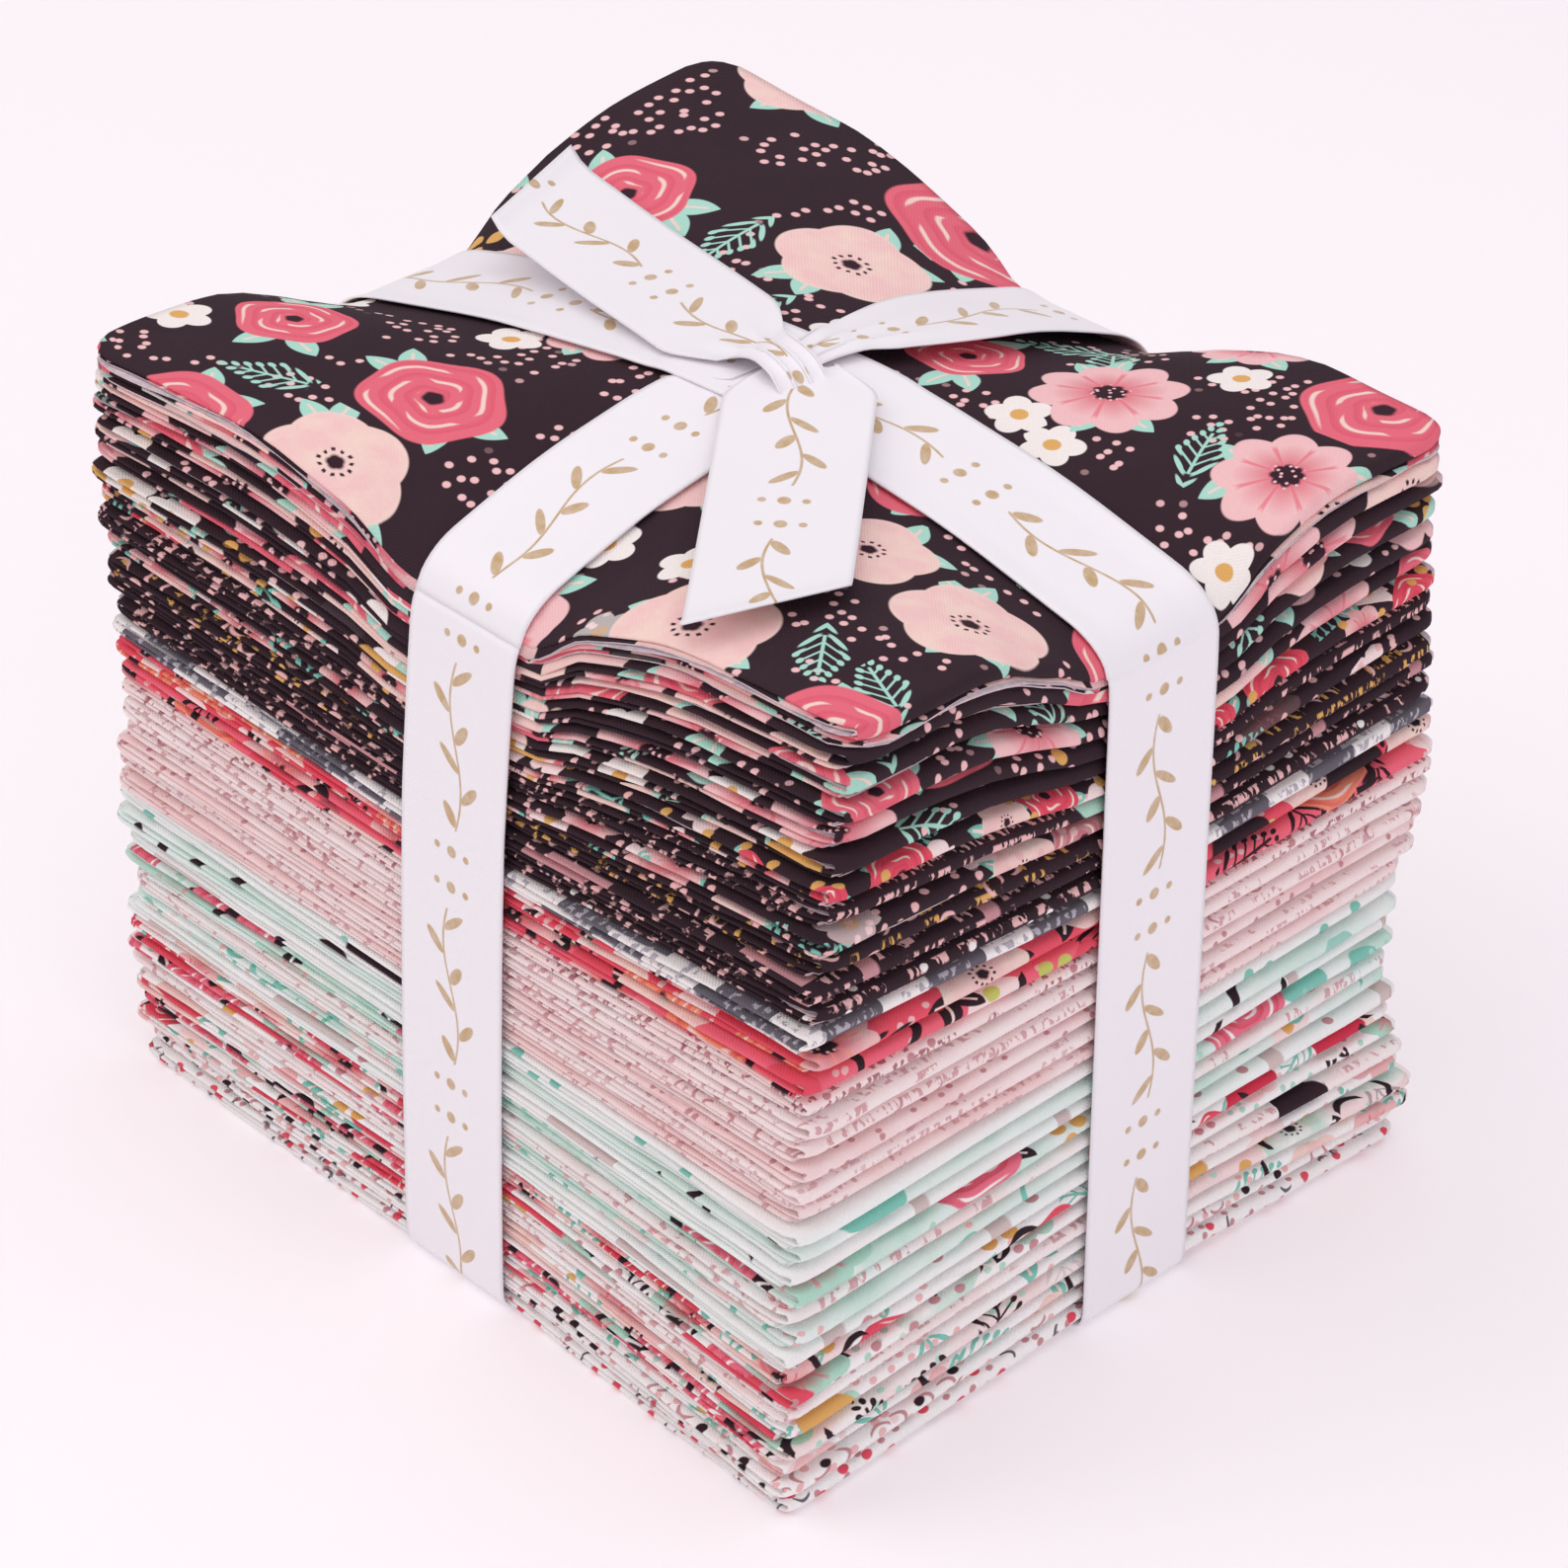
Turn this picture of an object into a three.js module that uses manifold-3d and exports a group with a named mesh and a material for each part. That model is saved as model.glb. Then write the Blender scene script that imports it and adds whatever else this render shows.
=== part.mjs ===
// A bundle of fat quarters tied with a ribbon, in millimetres, +Z up, origin under the middle.
// Each fat quarter is one cut of quilting cotton, folded in three one way and in three again
// the other way. Its solid shows the second folding: three levels in one back-and-forth
// section, a fold at +X above and a fold at -X below. The pieces lie in a stack, drawn down
// and in where the ribbon crosses the edges and puffed up at the corners.
import * as THREE from 'three';
import { mergeVertices } from 'three/addons/utils/BufferGeometryUtils.js';
import Module from 'manifold-3d';

const PIECES = 36;
const LONG = 178; // folded length of a piece, along X
const SHORT = 148; // folded width of a piece, along Y
const HEIGHT = 148; // of the stack at its corners
const PIECE_GAP = 0.47; // between one piece and the next
const LEVEL_GAP_SHARE = 0.055; // of a piece's height, between its levels
const FAN = 0.09; // how much looser the upper pieces lie than the mean

const RIBBON_WIDTH = 25.4;
const RIBBON_THICK = 1;
const RIBBON_CLEAR = 0.4; // between the ribbon and the cloth
const RIBBON_BEND = 1.2; // how far its bend at the top edges reaches in, and down the face
const STRIP = 14; // half width of the flat strip that the ribbon presses into the cloth
const SHOULDER_SHARE = 0.45; // where the puffed cloth is highest, from the strip to the edge
const PULL = 1.5; // how far the ribbon draws the edges in

const CROWN = 4; // rise of the stack's middle over its corners
const PINCH = 11; // dip of its edges under the ribbon
const PINCH_FADE = 2; // power at which both fade towards the bottom
const PUFF_STRIP = 2; // rise of the shoulders beside the ribbon
const PUFF_EDGE = 6; // rise of the shoulders at the stack's edges
const PUFF_PIECES = 10; // how many of the top pieces are puffed
const PUFF_FADE = 1.3;
const CORNER_LIFT = { near: 2.5, left: -1.5, right: -1.5, back: 4.5 };
const RIBBON_ROOM = 1.6; // rise of the lowest piece over the ribbon under it
const ROOM_PIECES = 18; // how many pieces up that rise is gone

// The strip wanders over the stack: its middle at each face, off the stack's own middle.
const STRIP_DRIFT = { frontX: 3, backX: 10, leftY: -7, rightY: 6 };

// How far the corners of the stack stand out at each share of its height. "near" is how far
// the front edge is drawn back at the near corner.
const CORNERS_OUT = [
  { at: 0.0, near: -4.0, left: -2.5, right: -0.8, back: 0.4 },
  { at: 0.08, near: -3.7, left: -0.5, right: 2.6, back: -0.8 },
  { at: 0.2, near: -3.0, left: 1.8, right: -0.8, back: 1.2 },
  { at: 0.28, near: -2.4, left: -1.6, right: -1.8, back: 0.6 },
  { at: 0.4, near: -1.2, left: 2.8, right: -1.2, back: -1.2 },
  { at: 0.55, near: 0.4, left: -2.0, right: 2.0, back: 1.0 },
  { at: 0.7, near: 2.6, left: -0.2, right: 1.2, back: -0.6 },
  { at: 0.85, near: 6.4, left: 3.2, right: 0.6, back: 1.4 },
  { at: 1.0, near: 11.0, left: 0.5, right: 0.8, back: 0.2 },
];
const PIECE_SWAY = 0.7; // how far single pieces lie off that line at the corners
const STRIP_SWAY = 0.3; // the same where the ribbon holds them

const HEM_BACK = 1.4; // how far the raw edges lie behind the folds
const HEM_SWAY = 0.8; // and how much that differs from piece to piece

// The colours of the pieces from the bottom up, each with how many pieces have it.
const COLOURWAYS = [
  { name: 'white cotton', pieces: 8, colour: 0xf1e9e6 },
  { name: 'mint cotton', pieces: 7, colour: 0xbfe3da },
  { name: 'pink cotton', pieces: 7, colour: 0xf0a9b1 },
  { name: 'coral cotton', pieces: 1, colour: 0xe2606b },
  { name: 'grey cotton', pieces: 1, colour: 0x8d8790 },
  { name: 'black cotton', pieces: 12, colour: 0x2f2730 },
];
const RIBBON_COLOUR = 0xf6f3f8;

// Sets the middle of the whole bundle's outline over the origin.
const MIDDLE_X = 0.43;
const MIDDLE_Y = 0.8;

const mix = (a, b, share) => a + (b - a) * share;
const halfLong = LONG / 2;
const halfShort = SHORT / 2;
const shoulderX = mix(STRIP, halfLong, SHOULDER_SHARE);
const shoulderY = mix(STRIP, halfShort, SHOULDER_SHARE);
const sway = (piece, pace, start) => Math.sin(piece * pace + start);

// 0 inside the strip, 1 at the edge of the stack, a straight line between and beyond.
const toEdge = (value, half) => Math.max(0, (Math.abs(value) - STRIP) / (half - STRIP));

// A value over one quadrant of the stack, from its values at the quadrant's four corners. The
// quadrant is creased along the line that leads away from the stack's middle.
function creased(a, b, [inner, alongX, alongY, outer]) {
  const [more, less, edge] = a > b ? [a, b, alongX] : [b, a, alongY];
  return inner + more * (edge - inner) + less * (outer - edge);
}

// How much the shoulders are puffed: `rise` gives it at the strip, the shoulder and the edge.
function puffed(a, b) {
  const rise = (n, m) => [[0, PUFF_STRIP, 0], [PUFF_STRIP, 0, PUFF_EDGE], [0, PUFF_EDGE, 0]][n][m];
  const cell = (share) => (share < SHOULDER_SHARE
    ? [0, share / SHOULDER_SHARE] : [1, (share - SHOULDER_SHARE) / (1 - SHOULDER_SHARE)]);
  const [n, partA] = cell(a);
  const [m, partB] = cell(b);
  return creased(partA, partB, [rise(n, m), rise(n + 1, m), rise(n, m + 1), rise(n + 1, m + 1)]);
}

function cornersOut(share) {
  const upper = Math.max(1, CORNERS_OUT.findIndex((row) => row.at >= share));
  const low = CORNERS_OUT[upper - 1];
  const high = CORNERS_OUT[upper];
  const part = (share - low.at) / (high.at - low.at);
  const out = {};
  for (const corner of ['near', 'left', 'right', 'back']) out[corner] = mix(low[corner], high[corner], part);
  return out;
}

// Height of the surface under piece number `level` (0 is the table, PIECES the stack's top)
// at the place (s, q) of the even stack, before anything is drawn in or out.
function surfaceHeight(level, s, q) {
  const share = level / PIECES;
  const a = toEdge(s, halfLong);
  const b = toEdge(q, halfShort);
  const corner = s > 0 ? (q < 0 ? 'near' : 'right') : q < 0 ? 'left' : 'back';
  const pinched = creased(a, b, [CROWN, -PINCH, -PINCH, CORNER_LIFT[corner]]);
  const puffPart = Math.max(0, 1 - (1 - share) * PIECES / PUFF_PIECES);
  const overRibbon = a > 0.01 && b > 0.01 ? 0 : RIBBON_ROOM;
  const fading = creased(a, b, [1, 1, 1, 0]) * RIBBON_ROOM * Math.max(0, 1 - level / ROOM_PIECES);
  return HEIGHT * (share + FAN * (share * share - share)) + (level === 0 ? overRibbon : fading)
    + pinched * share ** PINCH_FADE + puffed(a, b) * puffPart ** PUFF_FADE;
}

const driftX = (q) => mix(STRIP_DRIFT.frontX, STRIP_DRIFT.backX, (q + halfShort) / SHORT);
const driftY = (s) => mix(STRIP_DRIFT.leftY, STRIP_DRIFT.rightY, (s + halfLong) / LONG);

// How far an edge of the stack stands out from the even stack, at a share of its height.
function edgeOut(share, side, along) {
  const out = cornersOut(share);
  const [low, strip, high] = {
    right: [0, -PULL, out.right],
    left: [out.left, -PULL, out.back],
    front: [0, -PULL - out.near / 2, -out.near],
    back: [out.back, -PULL, out.right],
  }[side];
  const half = side === 'right' || side === 'left' ? halfShort : halfLong;
  return mix(strip, along < 0 ? low : high, toEdge(along, half));
}

// How far one piece lies off that line at its edge: more at the corners, less at the strip.
const SWAYS = { right: [2.4, 0.7], left: [2.2, 4.1], front: [2.9, 3.3], back: [2.3, 0.2] };
function edgeSway(piece, side, along, half) {
  const [pace, start] = SWAYS[side];
  const strip = STRIP_SWAY * sway(piece, pace, start + 1);
  return mix(strip, PIECE_SWAY * sway(piece, pace, start + Math.sign(along)), toEdge(along, half));
}

// One axis of the map from the even stack to the real one: the strip wanders by `drift`, and
// the edge stands `out`. `real` goes one way and `even` goes back.
const real = (value, half, drift, out) => {
  const a = toEdge(value, half);
  return value + drift * (1 - a) + Math.sign(value) * out * a;
};
const even = (place, half, drift, out) => {
  const side = Math.sign(place - drift);
  const past = side * (place - drift) - STRIP;
  if (past <= 0) return place - drift;
  return side * (STRIP + past * (half - STRIP) / (half - STRIP + out - side * drift));
};

// The back-and-forth section of one piece: x along the length, y from 0 at its underside to
// 1 at its top. It is bowed so that no three corners lie on a line, and fatQuarter takes the
// bow out again.
const SECTION_BOW = 8;
const FOLD_DEEP = 1.3; // how far a fold reaches past the flat of its levels
const FOLD_WALL = 0.9; // and how far the inside of the fold lies behind that
const bow = (x) => SECTION_BOW * (x / halfLong) ** 2;
function foldedSection(nodes, hemBack, topHemBack) {
  const gap = LEVEL_GAP_SHARE;
  const thick = (1 - 2 * gap) / 3;
  const outerEnd = halfLong - FOLD_DEEP;
  const innerEnd = outerEnd - FOLD_WALL;
  const floors = [0, 1, 2].map((n) => n * (thick + gap));
  const roofs = floors.map((floor) => floor + thick);
  const points = [];
  const run = (from, to, y) => {
    const ordered = from < to ? nodes : [...nodes].reverse();
    for (const x of [from, ...ordered, to]) points.push([x, y]);
  };
  const fold = (x, low, high, side) => {
    for (const turn of [-45, 0, 45]) {
      const angle = THREE.MathUtils.degToRad(side * turn);
      points.push([x + side * FOLD_DEEP * Math.cos(angle), mix(low, high, 0.5 + Math.sin(angle) / 2)]);
    }
  };
  run(-outerEnd, halfLong - hemBack, floors[0]);
  run(halfLong - hemBack, -innerEnd, roofs[0]);
  run(-innerEnd, outerEnd, floors[1]);
  fold(outerEnd, floors[1], roofs[2], 1);
  run(outerEnd, -halfLong + topHemBack, roofs[2]);
  run(-halfLong + topHemBack, innerEnd, floors[2]);
  run(innerEnd, -outerEnd, roofs[1]);
  fold(-outerEnd, floors[0], roofs[1], -1);
  return new THREE.Shape(points.map(([x, y]) => new THREE.Vector2(x, y + bow(x))));
}

// An extrusion cuts each wall face in two along one diagonal. Here every face is cut along the
// one that leads away from the middle, so that layers which lie on each other are cut alike.
function creaseOutwards(geometry, stationOf) {
  const place = geometry.attributes.position;
  const wall = geometry.groups.find((group) => group.materialIndex === 1);
  const corner = new THREE.Vector3();
  const otherCut = [0, 1, 4, 0, 4, 2];
  for (let first = wall.start; first < wall.start + wall.count; first += 6) {
    const face = [0, 1, 2, 3, 4, 5].map((n) => corner.fromBufferAttribute(place, first + n).toArray());
    const [cutFrom, cutTo] = [face[1], face[2]];
    const middleX = cutFrom[0] + cutTo[0];
    const middleY = stationOf(cutFrom[2]) + stationOf(cutTo[2]);
    const rises = (cutTo[0] - cutFrom[0]) * (stationOf(cutTo[2]) - stationOf(cutFrom[2])) > 0;
    if (rises === (middleX * middleY >= 0)) continue;
    otherCut.forEach((from, n) => place.setXYZ(first + n, ...face[from]));
  }
}

// The closed mesh of a shape: corners that meet are joined, and faces that closed up are left out.
function finished(geometry) {
  geometry.deleteAttribute('normal');
  geometry.deleteAttribute('uv');
  const closed = mergeVertices(geometry, 1e-4);
  const corners = [...closed.index.array];
  const kept = [];
  for (let n = 0; n < corners.length; n += 3) {
    const [a, b, c] = corners.slice(n, n + 3);
    if (a !== b && b !== c && c !== a) kept.push(a, b, c);
  }
  closed.setIndex(kept);
  closed.computeVertexNormals();
  return closed;
}

function fatQuarter(piece) {
  const fine = piece >= PIECES - PUFF_PIECES || piece === 0;
  const across = fine ? [-shoulderX, -STRIP, STRIP, shoulderX] : [-STRIP, STRIP];
  const stations = fine
    ? [-halfShort, -shoulderY, -STRIP, STRIP, shoulderY, halfShort]
    : [-halfShort, -STRIP, STRIP, halfShort];
  const hemBack = (pace, start) => HEM_BACK + HEM_SWAY * sway(piece, pace, start);
  const section = foldedSection(across, hemBack(2.3, 1), hemBack(1.6, 2));
  const steps = stations.length - 1;
  const geometry = new THREE.ExtrudeGeometry(section, { depth: steps, steps, bevelEnabled: false });
  const stationOf = (step) => stations[steps - Math.round(step)];
  creaseOutwards(geometry, stationOf);
  const place = geometry.attributes.position;
  const share = (piece + 0.5) / PIECES;
  const reach = (value, half, inner) => Math.max(0, (Math.abs(value) - inner) / (half - inner));
  for (let n = 0; n < place.count; n += 1) {
    const s = place.getX(n);
    const q = stationOf(place.getZ(n));
    const high = place.getY(n) - bow(s);
    const sideX = s > 0 ? 'right' : 'left';
    const sideY = q > 0 ? 'back' : 'front';
    const swayX = edgeSway(piece, sideX, q, halfShort) * reach(s, halfLong, fine ? shoulderX : STRIP);
    const swayY = edgeSway(piece, sideY, s, halfLong) * reach(q, halfShort, fine ? shoulderY : STRIP);
    const x = real(s, halfLong, driftX(q), edgeOut(share, sideX, q)) + Math.sign(s) * swayX;
    const y = real(q, halfShort, driftY(s), edgeOut(share, sideY, s)) + Math.sign(q) * swayY;
    const heightAt = (level) => surfaceHeight(
      level,
      even(x, halfLong, driftX(q), edgeOut(level / PIECES, sideX, q)),
      even(y, halfShort, driftY(s), edgeOut(level / PIECES, sideY, s)),
    );
    place.setXYZ(n, x, y, mix(heightAt(piece), heightAt(piece + 1) - PIECE_GAP, high));
  }
  return finished(geometry);
}

// The run of one loop of the ribbon, in the plane of the loop: over the top, down one face,
// under the stack and up the other face.
function loopPath(half, drift, heights, distance) {
  const alongX = half === halfLong;
  const shoulder = alongX ? shoulderX : shoulderY;
  const height = (v) => (alongX ? surfaceHeight(PIECES, v, 0) : surfaceHeight(PIECES, 0, v));
  const overTop = [-shoulder, -STRIP, STRIP, shoulder].map((v) => [
    real(v, half, drift, v > 0 ? distance(1, 1) - half : distance(-1, 1) - half), height(v) + RIBBON_CLEAR,
  ]);
  const bend = (side) => [side * (distance(side, 1) - RIBBON_BEND), height(side * half) + RIBBON_CLEAR];
  const down = (side) => heights.map((share) => {
    const pinched = HEIGHT * (share + FAN * (share * share - share)) - PINCH * share ** PINCH_FADE;
    return [side * distance(side, share), Math.max(pinched - RIBBON_BEND * share, RIBBON_THICK)];
  });
  return [bend(-1), ...overTop, bend(1), ...down(1).reverse(), ...down(-1)];
}

// Moves a closed path outwards by `distance`, corner by corner.
function outward(path, distance) {
  return path.map((point, n) => {
    const before = new THREE.Vector2(...path[(n + path.length - 1) % path.length]);
    const after = new THREE.Vector2(...path[(n + 1) % path.length]);
    const here = new THREE.Vector2(...point);
    const first = here.clone().sub(before).normalize();
    const second = after.sub(here).normalize();
    const normal = new THREE.Vector2(-first.y - second.y, first.x + second.x).normalize();
    const square = new THREE.Vector2(-first.y, first.x).dot(normal);
    return here.addScaledVector(normal, distance / square);
  });
}

function ribbonLoop(alongX) {
  const half = alongX ? halfLong : halfShort;
  const heights = alongX ? [0, 1] : CORNERS_OUT.map((row) => row.at);
  const lean = (side, share) => (alongX || side > 0 ? 0 : cornersOut(share).near / 2);
  const distance = (side, share) => half - PULL + STRIP_SWAY + RIBBON_CLEAR - lean(side, share);
  const inner = loopPath(half, alongX ? driftX(0) : driftY(0), heights, distance);
  const shape = new THREE.Shape(outward(inner, RIBBON_THICK));
  shape.holes.push(new THREE.Path(inner.reverse().map((point) => new THREE.Vector2(...point))));
  const geometry = new THREE.ExtrudeGeometry(shape, { depth: RIBBON_WIDTH, bevelEnabled: false });
  const place = geometry.attributes.position;
  for (let n = 0; n < place.count; n += 1) {
    const along = place.getX(n);
    const across = RIBBON_WIDTH / 2 - place.getZ(n);
    const held = THREE.MathUtils.clamp(along, -half, half);
    if (alongX) place.setXYZ(n, along, across + driftY(held), place.getY(n));
    else place.setXYZ(n, driftX(held) - across, along, place.getY(n));
  }
  return finished(geometry);
}

// Height of the top of the stack at a real place.
function topHeight({ x, y }) {
  const s = even(x, halfLong, driftX(y), edgeOut(1, x > 0 ? 'right' : 'left', y));
  const q = even(y, halfShort, driftY(x), edgeOut(1, y > 0 ? 'back' : 'front', x));
  return surfaceHeight(PIECES, s, q);
}

const knot = new THREE.Vector3(driftX(0), driftY(0), surfaceHeight(PIECES, 0, 0) + RIBBON_CLEAR);

const wasm = await Module();
wasm.setup();

function toSolid(geometry) {
  const closed = finished(geometry.clone());
  return new wasm.Manifold(new wasm.Mesh({
    numProp: 3,
    vertProperties: new Float32Array(closed.attributes.position.array),
    triVerts: new Uint32Array(closed.index.array),
  }));
}

function toGeometry(solid) {
  const mesh = solid.getMesh();
  const geometry = new THREE.BufferGeometry();
  geometry.setAttribute('position', new THREE.BufferAttribute(mesh.vertProperties, 3));
  geometry.setIndex(new THREE.BufferAttribute(mesh.triVerts, 1));
  geometry.computeVertexNormals();
  return geometry;
}

// The wrap of the half knot: a low cushion of ribbon drawn tight round the crossing. Its
// profile gives the radius as a share of the cushion's, and the height over the crossing.
const KNOT = { along: 15, across: 10, turn: -35, sides: 16 };
const KNOT_PROFILE = [
  { radius: 0, high: 0.5 },
  { radius: 1, high: 0.5 },
  { radius: 1, high: 2 },
  { radius: 0.8, high: 3.6 },
  { radius: 0.45, high: 4.5 },
  { radius: 0, high: 4.5 },
];
function knotWrap() {
  const profile = KNOT_PROFILE.map(({ radius, high }) => new THREE.Vector2(radius, high));
  const wrap = new THREE.LatheGeometry(profile, KNOT.sides);
  wrap.rotateX(Math.PI / 2);
  wrap.scale(KNOT.along, KNOT.across, 1);
  wrap.rotateZ(THREE.MathUtils.degToRad(KNOT.turn));
  wrap.translate(knot.x, knot.y, knot.z);
  return wrap;
}

// The two free ends of the ribbon, laid over the stack from the knot, the front one first: where
// the middle line ends, how far the slanting cut runs from one edge to the other, and how high
// the end lies over the loops.
const FREE_ENDS = [
  { endX: 58, endY: -53, slant: -14, lift: 1.6 },
  { endX: -74, endY: 15, slant: -16, lift: 1.1 },
];
const FREE_END_STEPS = 8;
function freeEnd({ endX, endY, slant, lift }) {
  const end = new THREE.Vector2(endX - knot.x, endY - knot.y);
  const length = end.length();
  const ahead = end.clone().normalize();
  const aside = new THREE.Vector2(-ahead.y, ahead.x);
  const edge = RIBBON_WIDTH / 2;
  const corners = [[-edge, 0], [edge, 0], [edge, RIBBON_THICK], [-edge, RIBBON_THICK]];
  const section = new THREE.Shape(corners.map((corner) => new THREE.Vector2(...corner)));
  const strip = new THREE.ExtrudeGeometry(section, { depth: 1, steps: FREE_END_STEPS, bevelEnabled: false });
  const place = strip.attributes.position;
  for (let n = 0; n < place.count; n += 1) {
    const share = place.getZ(n);
    const across = place.getX(n);
    const along = share * length + slant * share * across / RIBBON_WIDTH;
    const here = (side) => ahead.clone().multiplyScalar(along).addScaledVector(aside, side).add(knot);
    const under = Math.max(...[-1, -0.5, 0, 0.5, 1].map((side) => topHeight(here(side * edge))));
    const spot = here(across);
    place.setXYZ(n, spot.x, spot.y, under + RIBBON_CLEAR + lift + place.getY(n));
  }
  return strip;
}

function ribbon() {
  const parts = [ribbonLoop(true), ribbonLoop(false), knotWrap(), ...FREE_ENDS.map(freeEnd)];
  return toGeometry(parts.map(toSolid).reduce((joined, part) => joined.add(part)));
}

const bundle = new THREE.Group();
bundle.position.set(MIDDLE_X, MIDDLE_Y, 0);
const colourOf = COLOURWAYS.flatMap((way) => Array(way.pieces).fill(way));
for (let piece = 0; piece < PIECES; piece += 1) {
  const { name, colour } = colourOf[piece];
  const cloth = new THREE.MeshStandardMaterial({ name, color: colour, roughness: 0.9, metalness: 0 });
  const mesh = new THREE.Mesh(fatQuarter(piece), cloth);
  mesh.name = `fat_quarter_${String(piece + 1).padStart(2, '0')}`;
  bundle.add(mesh);
}
const satin = new THREE.MeshStandardMaterial({
  name: 'satin ribbon', color: RIBBON_COLOUR, roughness: 0.35, metalness: 0,
});
const tie = new THREE.Mesh(ribbon(), satin);
tie.name = 'ribbon';
bundle.add(tie);

export default bundle;
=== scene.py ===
import math

import bmesh
import bpy
import numpy as np
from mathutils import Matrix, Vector


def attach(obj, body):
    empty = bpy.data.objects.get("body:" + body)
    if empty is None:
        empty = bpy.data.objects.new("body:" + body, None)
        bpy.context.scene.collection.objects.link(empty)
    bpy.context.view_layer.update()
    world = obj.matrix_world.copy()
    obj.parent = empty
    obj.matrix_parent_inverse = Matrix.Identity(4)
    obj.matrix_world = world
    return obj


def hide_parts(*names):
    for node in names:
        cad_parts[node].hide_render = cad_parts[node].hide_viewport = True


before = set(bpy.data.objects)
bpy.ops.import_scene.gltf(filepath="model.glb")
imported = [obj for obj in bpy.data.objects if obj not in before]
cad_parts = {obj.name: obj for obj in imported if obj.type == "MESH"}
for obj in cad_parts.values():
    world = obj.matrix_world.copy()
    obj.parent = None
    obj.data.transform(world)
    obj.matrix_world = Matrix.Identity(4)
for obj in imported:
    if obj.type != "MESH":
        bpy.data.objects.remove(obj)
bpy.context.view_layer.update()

# The camera looks at the corner between the front and the right face, from above, through a long
# lens that keeps the photograph's slight perspective. Its shift sets the bundle in the frame.
# Sizes in this script are millimetres, and each mesh is brought to metres as it is laid.
MM = 0.001
LOOKED_AT = Vector((0.43, 0.8, 74)) * MM
CAMERA_TURN, CAMERA_RISE = math.radians(46.6), math.radians(33.6)
CAMERA_DISTANCE = 939.8 * MM
CAMERA_LENS, CAMERA_SHIFT = 123.55, (0.0168, -0.0203)
camera = bpy.data.objects.new("camera", bpy.data.cameras.new("camera"))
bpy.context.scene.collection.objects.link(camera)
bpy.context.scene.camera = camera
camera.data.lens = CAMERA_LENS
camera.data.shift_x, camera.data.shift_y = CAMERA_SHIFT
away = Vector((
    math.sin(CAMERA_TURN) * math.cos(CAMERA_RISE),
    -math.cos(CAMERA_TURN) * math.cos(CAMERA_RISE),
    math.sin(CAMERA_RISE),
))
camera.location = LOOKED_AT + away * CAMERA_DISTANCE
camera.rotation_mode = "QUATERNION"
camera.rotation_quaternion = (-away).to_track_quat("-Z", "Y")

# The white fat quarters lie lowest, eight of them. A fat quarter is half a yard of quilting
# cotton cut in two, folded in three across its width and in three again along its length.
# They all lie in one stack, in the places that the CAD gives them, so the stack comes first.
PIECES = 36
HALF_LONG, HALF_SHORT, HEIGHT = 89, 74, 148
MIDDLE_X, MIDDLE_Y = 0.43, 0.8  # the stack's middle, from the frame's origin
PIECE_GAP = 0.47
FAN = 0.09  # how much more room the upper pieces take than the lower ones
STRIP = 14  # half the width of the strips that the ribbon holds down
SHOULDER = 0.45  # where the puffs beside the ribbon are, as a share of the way to the edge
PULL = 1.5  # how far the ribbon draws the edges in
CROWN, PINCH, PINCH_FADE = 4, 11, 2  # the middle's rise, and how far the ribbon presses the edges
PUFF_RISE = np.array([[0, 2, 0], [2, 0, 6], [0, 6, 0]])
PUFF_PIECES, PUFF_FADE = 10, 1.3
CORNER_LIFT = {"near": 1.5, "left": 0, "right": 0, "back": 5.2}
RIBBON_ROOM, ROOM_PIECES = 1.6, 18  # the ribbon under the stack lifts its lower pieces
FRONT_X, BACK_X, LEFT_Y, RIGHT_Y = 3, 10, -7, 6  # where the ribbon crosses each upper edge
CORNERS_AT = [0, 0.08, 0.2, 0.28, 0.4, 0.55, 0.7, 0.85, 1]
CORNERS_OUT = {
    "near": [-4, -3.7, -3, -2.4, -1.2, 0.4, 2.6, 6.4, 11],
    "left": [-2.5, -0.5, 1.8, -1.6, 2.8, -2, -0.2, 3.2, 0.5],
    "right": [-0.8, 2.6, -0.8, -1.8, -1.2, 2, 1.2, 0.6, 0.8],
    "back": [0.4, -0.8, 1.2, 0.6, -1.2, 1, -0.6, 1.4, 0.2],
}
SWAYS = {"right": (2.4, 0.7), "left": (2.2, 4.1), "front": (2.9, 3.3), "back": (2.3, 0.2)}
PIECE_SWAY, STRIP_SWAY = 0.7, 0.3
SOFTNESS = 6  # how far from a crease of the stack its surfaces are rounded
DROOP, DROOP_REACH, DROOP_SIDE, DROOP_PIECES = 5, 9, 0.2, 10  # edges bent down by the ribbon


def mix(a, b, share):
    return a + (b - a) * share


def to_edge(value, half):
    """0 in the strip that the ribbon holds down, 1 at the edge."""
    return np.maximum(0, (np.abs(value) - STRIP) / (half - STRIP))


def creased(a, b, inner, along_x, along_y, outer):
    """The height in a square that is creased from its inner to its outer corner."""
    more, less = np.maximum(a, b), np.minimum(a, b)
    edge = np.where(a > b, along_x, along_y)
    return inner + more * (edge - inner) + less * (outer - edge)


def puffed(a, b):
    """How far the cloth between the ribbon's strips and the edges puffs up."""
    n, m = (a >= SHOULDER).astype(int), (b >= SHOULDER).astype(int)
    part_a = np.where(n, (a - SHOULDER) / (1 - SHOULDER), a / SHOULDER)
    part_b = np.where(m, (b - SHOULDER) / (1 - SHOULDER), b / SHOULDER)
    rises = [PUFF_RISE[n, m], PUFF_RISE[n + 1, m], PUFF_RISE[n, m + 1], PUFF_RISE[n + 1, m + 1]]
    return creased(part_a, part_b, *rises)


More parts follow.
